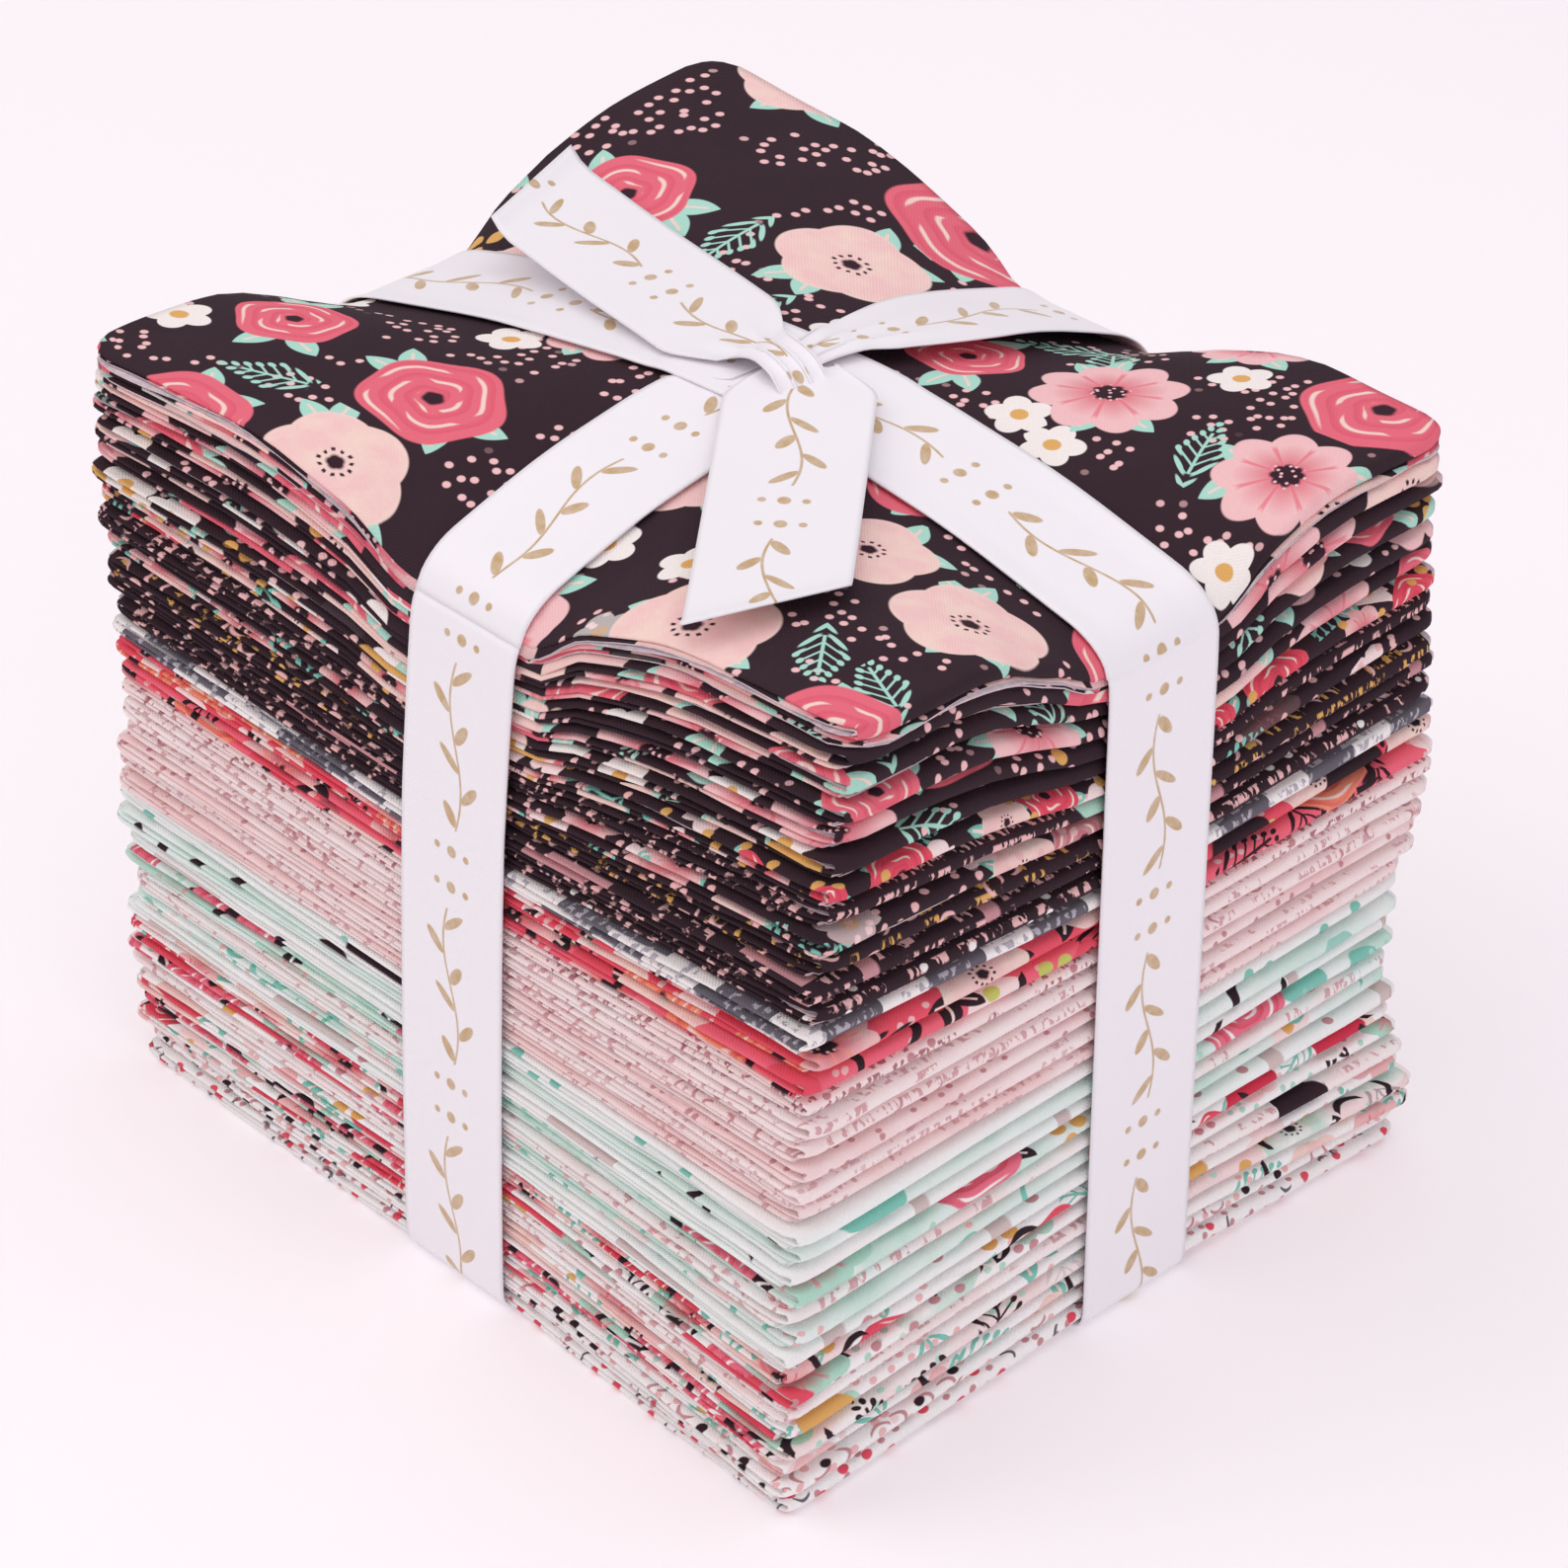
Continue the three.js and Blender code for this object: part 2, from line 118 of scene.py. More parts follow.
def sharp_height(level, s, q):
    share = level / PIECES
    a, b = to_edge(s, HALF_LONG), to_edge(q, HALF_SHORT)
    right = np.where(q < 0, CORNER_LIFT["near"], CORNER_LIFT["right"])
    left = np.where(q < 0, CORNER_LIFT["left"], CORNER_LIFT["back"])
    pinched = creased(a, b, CROWN, -PINCH, -PINCH, np.where(s > 0, right, left))
    puff_part = max(0, 1 - (1 - share) * PIECES / PUFF_PIECES)
    fading = creased(a, b, 1, 1, 1, 0) * max(0, 1 - level / ROOM_PIECES)
    room = np.where((a > 0.01) & (b > 0.01), 0, 1) if level == 0 else fading
    steady = HEIGHT * (share + FAN * (share * share - share)) + RIBBON_ROOM * room
    return steady + pinched * share**PINCH_FADE + puffed(a, b) * puff_part**PUFF_FADE


def eased(share):
    share = np.clip(share, 0, 1)
    return share * share * (3 - 2 * share)


def drooped(level, s, q):
    """How far the ribbon pulls the upper edges down, and rounds them, where it crosses them."""
    total = 0
    for along, half, beside, other in ((s, HALF_LONG, q, HALF_SHORT), (q, HALF_SHORT, s, HALF_LONG)):
        near = np.clip(1 - (half - np.abs(along)) / DROOP_REACH, 0, 1)
        in_strip = eased(1 - to_edge(beside, other) / DROOP_SIDE)
        total = total + DROOP * (1 - np.sqrt(1 - near * near)) * in_strip
    return total * max(0, 1 - (PIECES - level) / DROOP_PIECES)


def surface_height(level, s, q):
    """The CAD's surface under piece number `level`, with its creases and upper edges rounded."""
    near = (-SOFTNESS, 0, SOFTNESS)
    mean = sum(sharp_height(level, s + ds, q + dq) for ds in near for dq in near) / len(near) ** 2
    return mean - drooped(level, s, q)


def drift_x(q):
    """How far the ribbon round the short way lies off the middle."""
    return mix(FRONT_X, BACK_X, (q + HALF_SHORT) / (2 * HALF_SHORT))


def drift_y(s):
    return mix(LEFT_Y, RIGHT_Y, (s + HALF_LONG) / (2 * HALF_LONG))


def edge_out(share, side, along):
    """How far an edge of the stack stands out at a share of its height."""
    out = {corner: np.interp(share, CORNERS_AT, row) for corner, row in CORNERS_OUT.items()}
    low, strip, high = {
        "right": (0, -PULL, out["right"]),
        "left": (out["left"], -PULL, out["back"]),
        "front": (0, -PULL - out["near"] / 2, -out["near"]),
        "back": (out["back"], -PULL, out["right"]),
    }[side]
    half = HALF_SHORT if side in ("right", "left") else HALF_LONG
    return mix(strip, np.where(along < 0, low, high), to_edge(along, half))


def edge_sway(piece, side, along, half):
    """How far one piece lies out of line with those over and under it."""
    pace, start = SWAYS[side]
    strip = STRIP_SWAY * math.sin(piece * pace + start + 1)
    return mix(strip, PIECE_SWAY * np.sin(piece * pace + start + np.sign(along)), to_edge(along, half))


def both(sides, positive, value):
    """What `value` gives for one side of the stack or the other, point by point."""
    return np.where(positive, value(sides[0]), value(sides[1]))


def real(value, half, drift, out):
    """Where a place on the even block lies in the real stack."""
    a = to_edge(value, half)
    return value + drift * (1 - a) + np.sign(value) * out * a


def even(place, half, drift, out):
    """The other way: where a real place lies on the even block."""
    side = np.sign(place - drift)
    past = side * (place - drift) - STRIP
    beyond = side * (STRIP + past * (half - STRIP) / (half - STRIP + out - side * drift))
    return np.where(past <= 0, place - drift, beyond)


def stack_height(level, x, y, s, q):
    """Height of the surface under piece `level` at the real place (x, y), which lies near (s, q)."""
    share = level / PIECES
    out_x = both(("right", "left"), s > 0, lambda side: edge_out(share, side, q))
    out_y = both(("back", "front"), q > 0, lambda side: edge_out(share, side, s))
    return surface_height(
        level, even(x, HALF_LONG, drift_x(q), out_x), even(y, HALF_SHORT, drift_y(s), out_y)
    )


# Soft tension creases in the upper pieces run from where the ribbon bites into an edge: each is
# a trough from one place to the other, so deep and so wide, in the stack's own millimetres.
CREASES = [
    {"start": (18, -72), "end": (30, -30), "deep": 0.9, "wide": 5},
    {"start": (-12, -72), "end": (-34, -36), "deep": 1.1, "wide": 6},
    {"start": (87, -20), "end": (46, -34), "deep": 0.9, "wide": 5},
    {"start": (87, 24), "end": (52, 38), "deep": 0.8, "wide": 5},
    {"start": (-87, 8), "end": (-48, 26), "deep": 0.9, "wide": 6},
    {"start": (26, 72), "end": (38, 36), "deep": 0.7, "wide": 5},
]
CREASED_PIECES = 9


def creases(level, x, y):
    fade = max(0, 1 - (PIECES - level) / CREASED_PIECES)
    total = np.zeros_like(x)
    for crease in CREASES:
        start, end = np.array(crease["start"], float), np.array(crease["end"], float)
        run = end - start
        share = ((x - start[0]) * run[0] + (y - start[1]) * run[1]) / (run @ run)
        on_line = np.clip(share, 0, 1)
        off = np.hypot(x - start[0] - on_line * run[0], y - start[1] - on_line * run[1])
        total += crease["deep"] * np.exp(-((off / crease["wide"]) ** 2)) * (1 - on_line)
    return -fade * total


# One piece of cloth is a flat grid of its own width and length, folded by moving its points:
# first into three plies in the width, then into three levels in the length.
LEVEL_GAP_SHARE = 0.055
LEVEL_SHARE = (1 - 2 * LEVEL_GAP_SHARE) / 3
LEVEL_FOLD, PLY_FOLD = 1.3, 0.6
LEVEL_TURNS, PLY_TURNS = 6, 5
WAVES = ((150, 1), (57, 0.6), (23, 0.35))  # length and share of each wave of an uneven line
HEM_BACK, LONG_HEM_BACK = 1.4, 0.9  # how far the raw ends stop short of the folds
HEM_WAVER, LONG_HEM_WAVER = 0.45, 0.5
FOLD_BACK, LONG_FOLD_BACK = 0.3, 0.4
FOLD_WAVER, LONG_FOLD_WAVER = 0.22, 0.3
HEM_SHIFT, LONG_HEM_SHIFT, FOLD_SHIFT, LONG_FOLD_SHIFT = 60, 75, 40, 90  # from ply to ply
HELD_WAVER = 0.25  # the share of its unevenness that an edge keeps under the ribbon
SWELL_WAVER = 0.25
TOP_OVER = 1.2  # how far the raw edges of the top piece lie over its folds
CLOTH_THICK = 0.27
EDGE_REACH = 28  # how far in from an edge its unevenness is felt
SWELL = 0.075  # how much of a piece's height its thick fold takes from its other level
CORNER_ROUND = 6  # how far a folded corner is rounded, in the lower pieces
TOP_ROUND = 4  # and how much more at the top
SEED = 83


def folded_in_three(first_side, half, deep, steps, turns):
    """Stations along cloth folded in three: place, which fold it belongs to, the turn through
    that fold, and how far it is from the raw end that it starts or ends at."""
    close, closer = 1 - CORNER_ROUND / half, 1 - CORNER_ROUND / half / 3
    run = np.concatenate([[-1, -closer], np.linspace(-close, close, steps - 3), [closer, 1]])
    turn = np.linspace(0, math.pi, turns + 1)[1:-1]
    place, fold, angle = [], [], []
    for layer in range(3):
        side = first_side * (-1) ** layer
        place += list(-run * side * (half - deep))
        fold += [min(layer, 1)] * (steps + 1)
        angle += [math.pi if layer == 2 else 0] * (steps + 1)
        if layer < 2:
            place += list(-side * (half - deep + deep * np.sin(turn)))
            fold += [layer] * len(turn)
            angle += list(turn)
    count = steps + 1
    raw = np.zeros(len(place))
    raw[:count] = np.clip(1 - (run + 1) * (half - deep) / EDGE_REACH, 0, 1)
    raw[-count:] = np.clip(1 - (1 - run) * (half - deep) / EDGE_REACH, 0, 1)
    return np.array(place), np.array(fold), np.array(angle), raw


def waver(draw, along, reach):
    """An uneven line, as a fold or a cut made by hand: a few waves that start anywhere."""
    total = np.zeros_like(along, dtype=float)
    for length, share in WAVES:
        total += share * np.sin(2 * math.pi * (along / length + draw.random()))
    return reach * total


def rounded(s, q, reach):
    """Corners of the folded cloth are soft: each is drawn in to a quarter of a circle."""
    u = np.maximum(0, 1 - (HALF_LONG - np.abs(s)) / reach)
    v = np.maximum(0, 1 - (HALF_SHORT - np.abs(q)) / reach)
    in_s = reach * u * (1 - np.sqrt(np.maximum(0, 1 - v * v / 2)))
    in_q = reach * v * (1 - np.sqrt(np.maximum(0, 1 - u * u / 2)))
    return s - np.sign(s) * in_s, q - np.sign(q) * in_q


def folded_places(piece, steps):
    """Where each point of a fat quarter's grid lies in the stack, and its place on the flat cloth."""
    draw = np.random.default_rng(SEED + piece)
    s, fold_x, turn_x, raw_x = folded_in_three(1, HALF_LONG, LEVEL_FOLD, steps[0], LEVEL_TURNS)
    q, fold_y, turn_y, raw_y = folded_in_three(-1, HALF_SHORT, PLY_FOLD, steps[1], PLY_TURNS)
    ply = (fold_y + 1) / 3 - np.cos(turn_y) / 6
    s, fold_x, turn_x, raw_x = (row[:, None] for row in (s, fold_x, turn_x, raw_x))
    fold_radius = LEVEL_GAP_SHARE / 2 + LEVEL_SHARE * np.where(fold_x == 0, 1 - ply, ply)
    middle = (fold_x + 1) * (LEVEL_SHARE + LEVEL_GAP_SHARE) - LEVEL_GAP_SHARE / 2
    high = middle - fold_radius * np.cos(turn_x)
    outer_radius = LEVEL_SHARE + LEVEL_GAP_SHARE / 2
    inner_fold = LEVEL_FOLD * (1 - fold_radius / outer_radius) * np.sin(turn_x)
    s_all = s - np.sign(s) * inner_fold
    q_all = q[None, :] + 0 * s_all
    near_x = np.clip(1 - (HALF_LONG - np.abs(s_all)) / EDGE_REACH, 0, 1) ** 2
    near_y = np.clip(1 - (HALF_SHORT - np.abs(q_all)) / EDGE_REACH, 0, 1) ** 2
    loose_x = mix(HELD_WAVER, 1, np.minimum(1, to_edge(q_all, HALF_SHORT) * 2))
    loose_y = mix(HELD_WAVER, 1, np.minimum(1, to_edge(s_all, HALF_LONG) * 2))
    hem_x = HEM_BACK + waver(draw, q_all + HEM_SHIFT * ply, HEM_WAVER) * loose_x
    hem_y = LONG_HEM_BACK + waver(draw, s_all + LONG_HEM_SHIFT * high, LONG_HEM_WAVER) * loose_y
    if piece == PIECES - 1:
        hem_x, hem_y = hem_x - HEM_BACK - TOP_OVER, hem_y - LONG_HEM_BACK - TOP_OVER
    in_x = FOLD_BACK + waver(draw, q_all + FOLD_SHIFT * fold_x, FOLD_WAVER) * loose_x
    in_y = LONG_FOLD_BACK + waver(draw, s_all + LONG_FOLD_SHIFT * high, LONG_FOLD_WAVER) * loose_y
    s_real = s_all - np.sign(s_all) * (hem_x * raw_x + in_x * near_x)
    q_real = q_all - np.sign(q_all) * (hem_y * raw_y[None, :] + in_y * near_y)
    swell = SWELL * (1 + waver(draw, q_all, SWELL_WAVER)) * np.sign(s_all) * near_x
    high = high - swell * np.sin(math.pi * high)
    share = (piece + 0.5) / PIECES
    reach = (CORNER_ROUND + TOP_ROUND * share**3) * draw.uniform(0.5, 1)
    s_real, q_real = rounded(s_real, q_real, reach)
    out_x = both(("right", "left"), s_all > 0, lambda side: edge_out(share, side, q_all))
    out_y = both(("back", "front"), q_all > 0, lambda side: edge_out(share, side, s_all))
    sway_x = both(
        ("right", "left"), s_all > 0, lambda side: edge_sway(piece, side, q_all, HALF_SHORT)
    )
    sway_y = both(
        ("back", "front"), q_all > 0, lambda side: edge_sway(piece, side, s_all, HALF_LONG)
    )
    x = real(s_real, HALF_LONG, drift_x(q_all), out_x)
    y = real(q_real, HALF_SHORT, drift_y(s_all), out_y)
    x = x + np.sign(s_all) * sway_x * to_edge(s_all, HALF_LONG)
    y = y + np.sign(q_all) * sway_y * to_edge(q_all, HALF_SHORT)
    bottom = stack_height(piece, x, y, s_all, q_all) + creases(piece, x, y)
    top = stack_height(piece + 1, x, y, s_all, q_all) + creases(piece + 1, x, y) - PIECE_GAP
    z = mix(bottom, top, high)
    places = np.stack([x + MIDDLE_X, y + MIDDLE_Y, z], axis=-1) * MM
    round_folds = np.diff(turn_x[:, 0], prepend=0)
    long_way = np.cumsum(np.hypot(np.diff(s[:, 0], prepend=s[0, 0]), round_folds))
    short_way = np.cumsum(np.abs(np.diff(q, prepend=q[0])))
    flat = np.stack(np.broadcast_arrays(long_way[:, None], short_way[None, :]), axis=-1) * MM
    return places, flat


def laid_grid(name, places, flat, materials):
    """A grid of cloth with each of its points moved to its place, and `cloth` as its flat map."""
    count_u, count_v = places.shape[0] - 1, places.shape[1] - 1
    grid = bmesh.new()
    bmesh.ops.create_grid(grid, x_segments=count_u, y_segments=count_v, size=0.5)
    bmesh.ops.reverse_faces(grid, faces=grid.faces)
    mesh = bpy.data.meshes.new(name)
    grid.to_mesh(mesh)
    grid.free()
    start = np.empty(len(mesh.vertices) * 3, np.float32)
    mesh.vertices.foreach_get("co", start)
    start = start.reshape(-1, 3) + 0.5
    u = np.rint(start[:, 0] * count_u).astype(int)
    v = np.rint(start[:, 1] * count_v).astype(int)
    mesh.vertices.foreach_set("co", places[u, v].astype(np.float32).ravel())
    corner = np.empty(len(mesh.loops), np.int32)
    mesh.loops.foreach_get("vertex_index", corner)
    cloth = mesh.uv_layers.new(name="cloth")
    cloth.data.foreach_set("uv", flat[u[corner], v[corner]].astype(np.float32).ravel())
    mesh.polygons.foreach_set("use_smooth", np.ones(len(mesh.polygons), bool))
    for material in materials:
        mesh.materials.append(material)
    mesh.update()
    made = bpy.data.objects.new(name, mesh)
    bpy.context.scene.collection.objects.link(made)
    return made


class Shade:
    """A socket of a material. Sums on it add Math nodes, and node() adds any other node."""

    def __init__(self, tree, socket=None):
        self.tree = tree
        self.socket = socket

    def node(self, kind, settings, values, output=0):
        made = self.tree.nodes.new("ShaderNode" + kind)
        for name, value in settings.items():
            setattr(made, name, value)
        for name, value in values.items():
            if isinstance(value, Shade):
                self.tree.links.new(value.socket, made.inputs[name])
            else:
                made.inputs[name].default_value = value
        return Shade(self.tree, made.outputs[output])

    def math(self, operation, *others):
        return self.node("Math", {"operation": operation}, dict(enumerate((self, *others))))

    def __add__(self, other):
        return self.math("ADD", other)

    def __sub__(self, other):
        return self.math("SUBTRACT", other)

    def __mul__(self, other):
        return self.math("MULTIPLY", other)

    def __truediv__(self, other):
        return self.math("DIVIDE", other)

    def __pow__(self, other):
        return self.math("POWER", other)

    def __rsub__(self, other):
        return self * -1 + other

    __radd__, __rmul__ = __add__, __mul__

    def above(self, edge, soft):
        """1 where the value is over the edge and 0 where it is under, with a soft border."""
        if isinstance(edge, Shade):
            return (self - edge).above(0, soft)
        border = {"Value": self, "From Min": edge - soft / 2, "From Max": edge + soft / 2}
        return self.node("MapRange", {}, border)

    def below(self, edge, soft):
        if isinstance(edge, Shade):
            return (edge - self).above(0, soft)
        border = {"Value": self, "From Min": edge + soft / 2, "From Max": edge - soft / 2}
        return self.node("MapRange", {}, border)

    def vector(self, operation, *others):
        return self.node("VectorMath", {"operation": operation}, dict(enumerate((self, *others))))

    def parts(self):
        return [self.node("SeparateXYZ", {}, {0: self}, n) for n in range(3)]

    def over(self, under, colour):
        """A colour laid over another where this mask is 1."""
        factor_a_b = {0: self, 6: under, 7: colour}
        return self.node("Mix", {"data_type": "RGBA"}, factor_a_b, 2)


def paint(red, green, blue):
    """A colour as the eye names it, from 0 to 255, as the shader's own linear colour."""
    shares = [v / 255 for v in (red, green, blue)]
    return (*(v / 12.92 if v < 0.04045 else ((v + 0.055) / 1.055) ** 2.4 for v in shares), 1)


def new_material(name, roughness):
    material = bpy.data.materials.new(name)
    material.use_nodes = True
    shader = material.node_tree.nodes["Principled BSDF"]
    shader.inputs["Roughness"].default_value = roughness
    return material, material.node_tree, shader


def on_cloth(tree):
    """The place on the flat cloth, in millimetres."""
    place = Shade(tree).node("UVMap", {"uv_map": "cloth"}, {})
    return place.node("VectorMath", {"operation": "SCALE"}, {0: place, "Scale": 1000.0})


THREAD_HIGH = 0.3


def weave(tree, place, shader, thread, strength):
    """Bump of over and under threads, with slubs."""
    x, y, _ = place.parts()
    warp = (x * (math.pi / thread)).math("SINE")
    weft = (y * (math.pi / thread)).math("SINE")
    slub = place.node("TexNoise", {}, {"Vector": place, "Scale": 0.9, "Detail": 3.0})
    height = warp * weft * 0.5 + slub
    bump = place.node("Bump", {}, {"Height": height, "Strength": strength, "Distance": THREAD_HIGH * MM})
    tree.links.new(bump.socket, shader.inputs["Normal"])


def scattered(place, spacing, seed, jitter=1.0):
    """Cuts the cloth into cells about `spacing` apart. Gives the way from each cell's middle,
    turned by the cell's own draw, and that draw as three numbers, and the middle itself."""
    moved = place.vector("ADD", (seed * 37.3, seed * 91.7, 0))
    settings = {"voronoi_dimensions": "2D"}
    values = {"Vector": moved, "Scale": 1 / spacing, "Randomness": jitter}
    middle = place.node("TexVoronoi", settings, values, "Position")
    draw = place.node("TexVoronoi", settings, values, "Color").parts()
    way = moved.vector("SUBTRACT", middle)
    angle = draw[0] * (2 * math.pi)
    turned = place.node("VectorRotate", {"rotation_type": "Z_AXIS"}, {"Vector": way, "Angle": angle})
    return turned.parts()[:2], draw, middle


def polar(x, y):
    """How far a point is from the middle of its motif, and the turn round it."""
    return (x * x + y * y) ** 0.5, y.math("ARCTAN2", x)


def blots(colour, place, ink, spacing, share, seed):
    """Rounded uneven patches on a share of the cells, as the edge of a big motif shows."""
    (x, y), draw, _ = scattered(place, spacing, seed)
    ragged = place.node("TexNoise", {}, {"Vector": place, "Scale": 3 / spacing, "Detail": 1.0})
    far = (x * x + y * y * 2.2) ** 0.5 * (ragged * 0.8 + 0.6)
    mask = far.below(spacing * 0.36, 0.5) * draw[1].below(share, 0.01)
    return mask.over(colour, ink)


def dots(colour, place, ink, spacing, share, seed):
    (x, y), draw, _ = scattered(place, spacing, seed, 0.7)
    mask = polar(x, y)[0].below(spacing * 0.2, 0.25) * draw[2].below(share, 0.01)
    return mask.over(colour, ink)


def strokes(colour, place, ink, spacing, share, seed):
    """Short bent pen strokes."""
    (x, y), draw, _ = scattered(place, spacing, seed)
    bent = (y - x * x * (1.6 / spacing)).math("ABSOLUTE")
    length = x.math("ABSOLUTE").below(spacing * 0.4, 0.3)
    mask = bent.below(spacing * 0.08, 0.3) * length * draw[1].below(share, 0.01)
    return mask.over(colour, ink)


def stripes(colour, place, ink, spacing, share, seed):
    """Blocks of a stripe, one row set off against the next."""
    x, y, _ = place.parts()
    row = (x / (spacing * 0.6) + seed).math("FLOOR")
    along = (y / spacing + row * 0.37).math("FRACT")
    return along.below(0.5 * share, 0.02).over(colour, ink)


def script(colour, place, ink, spacing, share, seed):
    """Rows of tiny marks, as fine as handwriting, that break off and start again."""
    x, y, _ = place.parts()
    row = (x / spacing + seed).math("FLOOR")
    high = (x / spacing + seed).math("FRACT") - 0.5
    way = place.node("CombineXYZ", {}, {0: y, 1: row * 31.7, 2: high * 1.3})
    marks = place.node("TexNoise", {}, {"Vector": way, "Scale": 0.9, "Detail": 2.0})
    words = place.node("TexNoise", {}, {"Vector": way, "Scale": 0.12, "Detail": 0.0})
    wanted = high.math("ABSOLUTE").below(0.3, 0.1) * words.below(0.38 + share * 0.25, 0.03)
    return (marks.above(0.54, 0.05) * wanted).over(colour, ink)


def washes(colour, place, ink, spacing, share, seed):
    """Soft clouds of a second tone, as of watercolour."""
    moved = place.vector("ADD", (seed * 17.1, seed * 43.9, 0))
    cloud = place.node("TexNoise", {}, {"Vector": moved, "Scale": 1 / spacing, "Detail": 3.0})
    return (cloud.above(0.5, 0.25) * share).over(colour, ink)


def leaf(x, y, start, turn, long, wide):
    """A pointed leaf that leaves a flower at `start` from its middle. Gives it and its rib."""
    c, s = math.cos(turn), math.sin(turn)
    along = ((x - start) * c + y * s) / long
    off = (y * c - (x - start) * s).math("ABSOLUTE")
    bow = along * (1 - along) * 4
    inside = (bow * wide - off).above(0, 0.25) * along.above(0, 0.02) * along.below(1, 0.02)
    rib = off.below(0.28, 0.2) * along.above(0.15, 0.02) * along.below(0.8, 0.02)
    return inside, rib


def rosette(colour, near, turn, wanted, inks):
    """A full blown flower: loose rings of petals that wind to a dark heart."""
    colour = (near.below(1, 0.03) * wanted).over(colour, inks["deep"])
    wound = (near * 3.1 + turn * (0.5 / math.pi) + (turn * 3).math("SINE") * 0.06).math("FRACT")
    gaps = (turn * 4 + near * 9).math("SINE").above(-0.45, 0.3)
    between = near.above(0.24, 0.03) * near.below(0.9, 0.05)
    line = (wound - 0.5).math("ABSOLUTE").below(0.1, 0.08) * between
    shade = (wound.above(0.72, 0.3) * near.below(0.95, 0.05)) * wanted * 0.5
    colour = shade.over(colour, inks["shade"])
    colour = (line * gaps * wanted).over(colour, inks["light"])
    return (near.below(0.15, 0.05) * wanted).over(colour, inks["heart"])


def cosmos(colour, near, turn, wanted, inks, place):
    """Eight broad petals with fine veins round a speckled heart."""
    colour = (near.below(1, 0.03) * wanted).over(colour, inks["pale"])
    flush = near.below(0.5, 0.5) * wanted * 0.7
    colour = flush.over(colour, inks["shade"])
    vein = (turn * 4).math("COSINE").math("ABSOLUTE").below(0.22, 0.16) * near.below(0.82, 0.1)
    colour = (vein * wanted * 0.7).over(colour, inks["deep"])
    colour = (near.below(0.24, 0.05) * wanted).over(colour, inks["heart"])
    (x, y), _, _ = scattered(place, 1.7, 5.5)
    speck = polar(x, y)[0].below(0.32, 0.2) * near.below(0.28, 0.03) * wanted
    return speck.over(colour, inks["pale"])


def wash_flower(colour, near, turn, wanted, inks, place):
    """A broad flower as if painted wet, with a small heart and a ring of stamens."""
    cloud = place.node("TexNoise", {}, {"Vector": place, "Scale": 0.16, "Detail": 3.0})
    colour = (near.below(1, 0.03) * wanted).over(colour, inks["light"])
    wet = cloud.above(0.48, 0.25) * near.below(0.97, 0.04) * wanted * 0.7
    colour = wet.over(colour, inks["pale"])
    colour = (near.below(0.13, 0.05) * wanted).over(colour, inks["heart"])
    round_heart = near.above(0.2, 0.03) * near.below(0.26, 0.03)
    stamens = (turn * 11).math("COSINE").above(0.2, 0.3) * round_heart
    return (stamens * wanted).over(colour, inks["heart"])


FLOWER_JITTER = 0.42  # how far flowers stray from even rows
LEAVES = ((0.2, 0.5, 0.3), (0.2, -0.4, 0.27), (-0.18, 2.5, 0.27), (-0.14, -2.3, 0.3))
LEAF_WIDE = 0.065


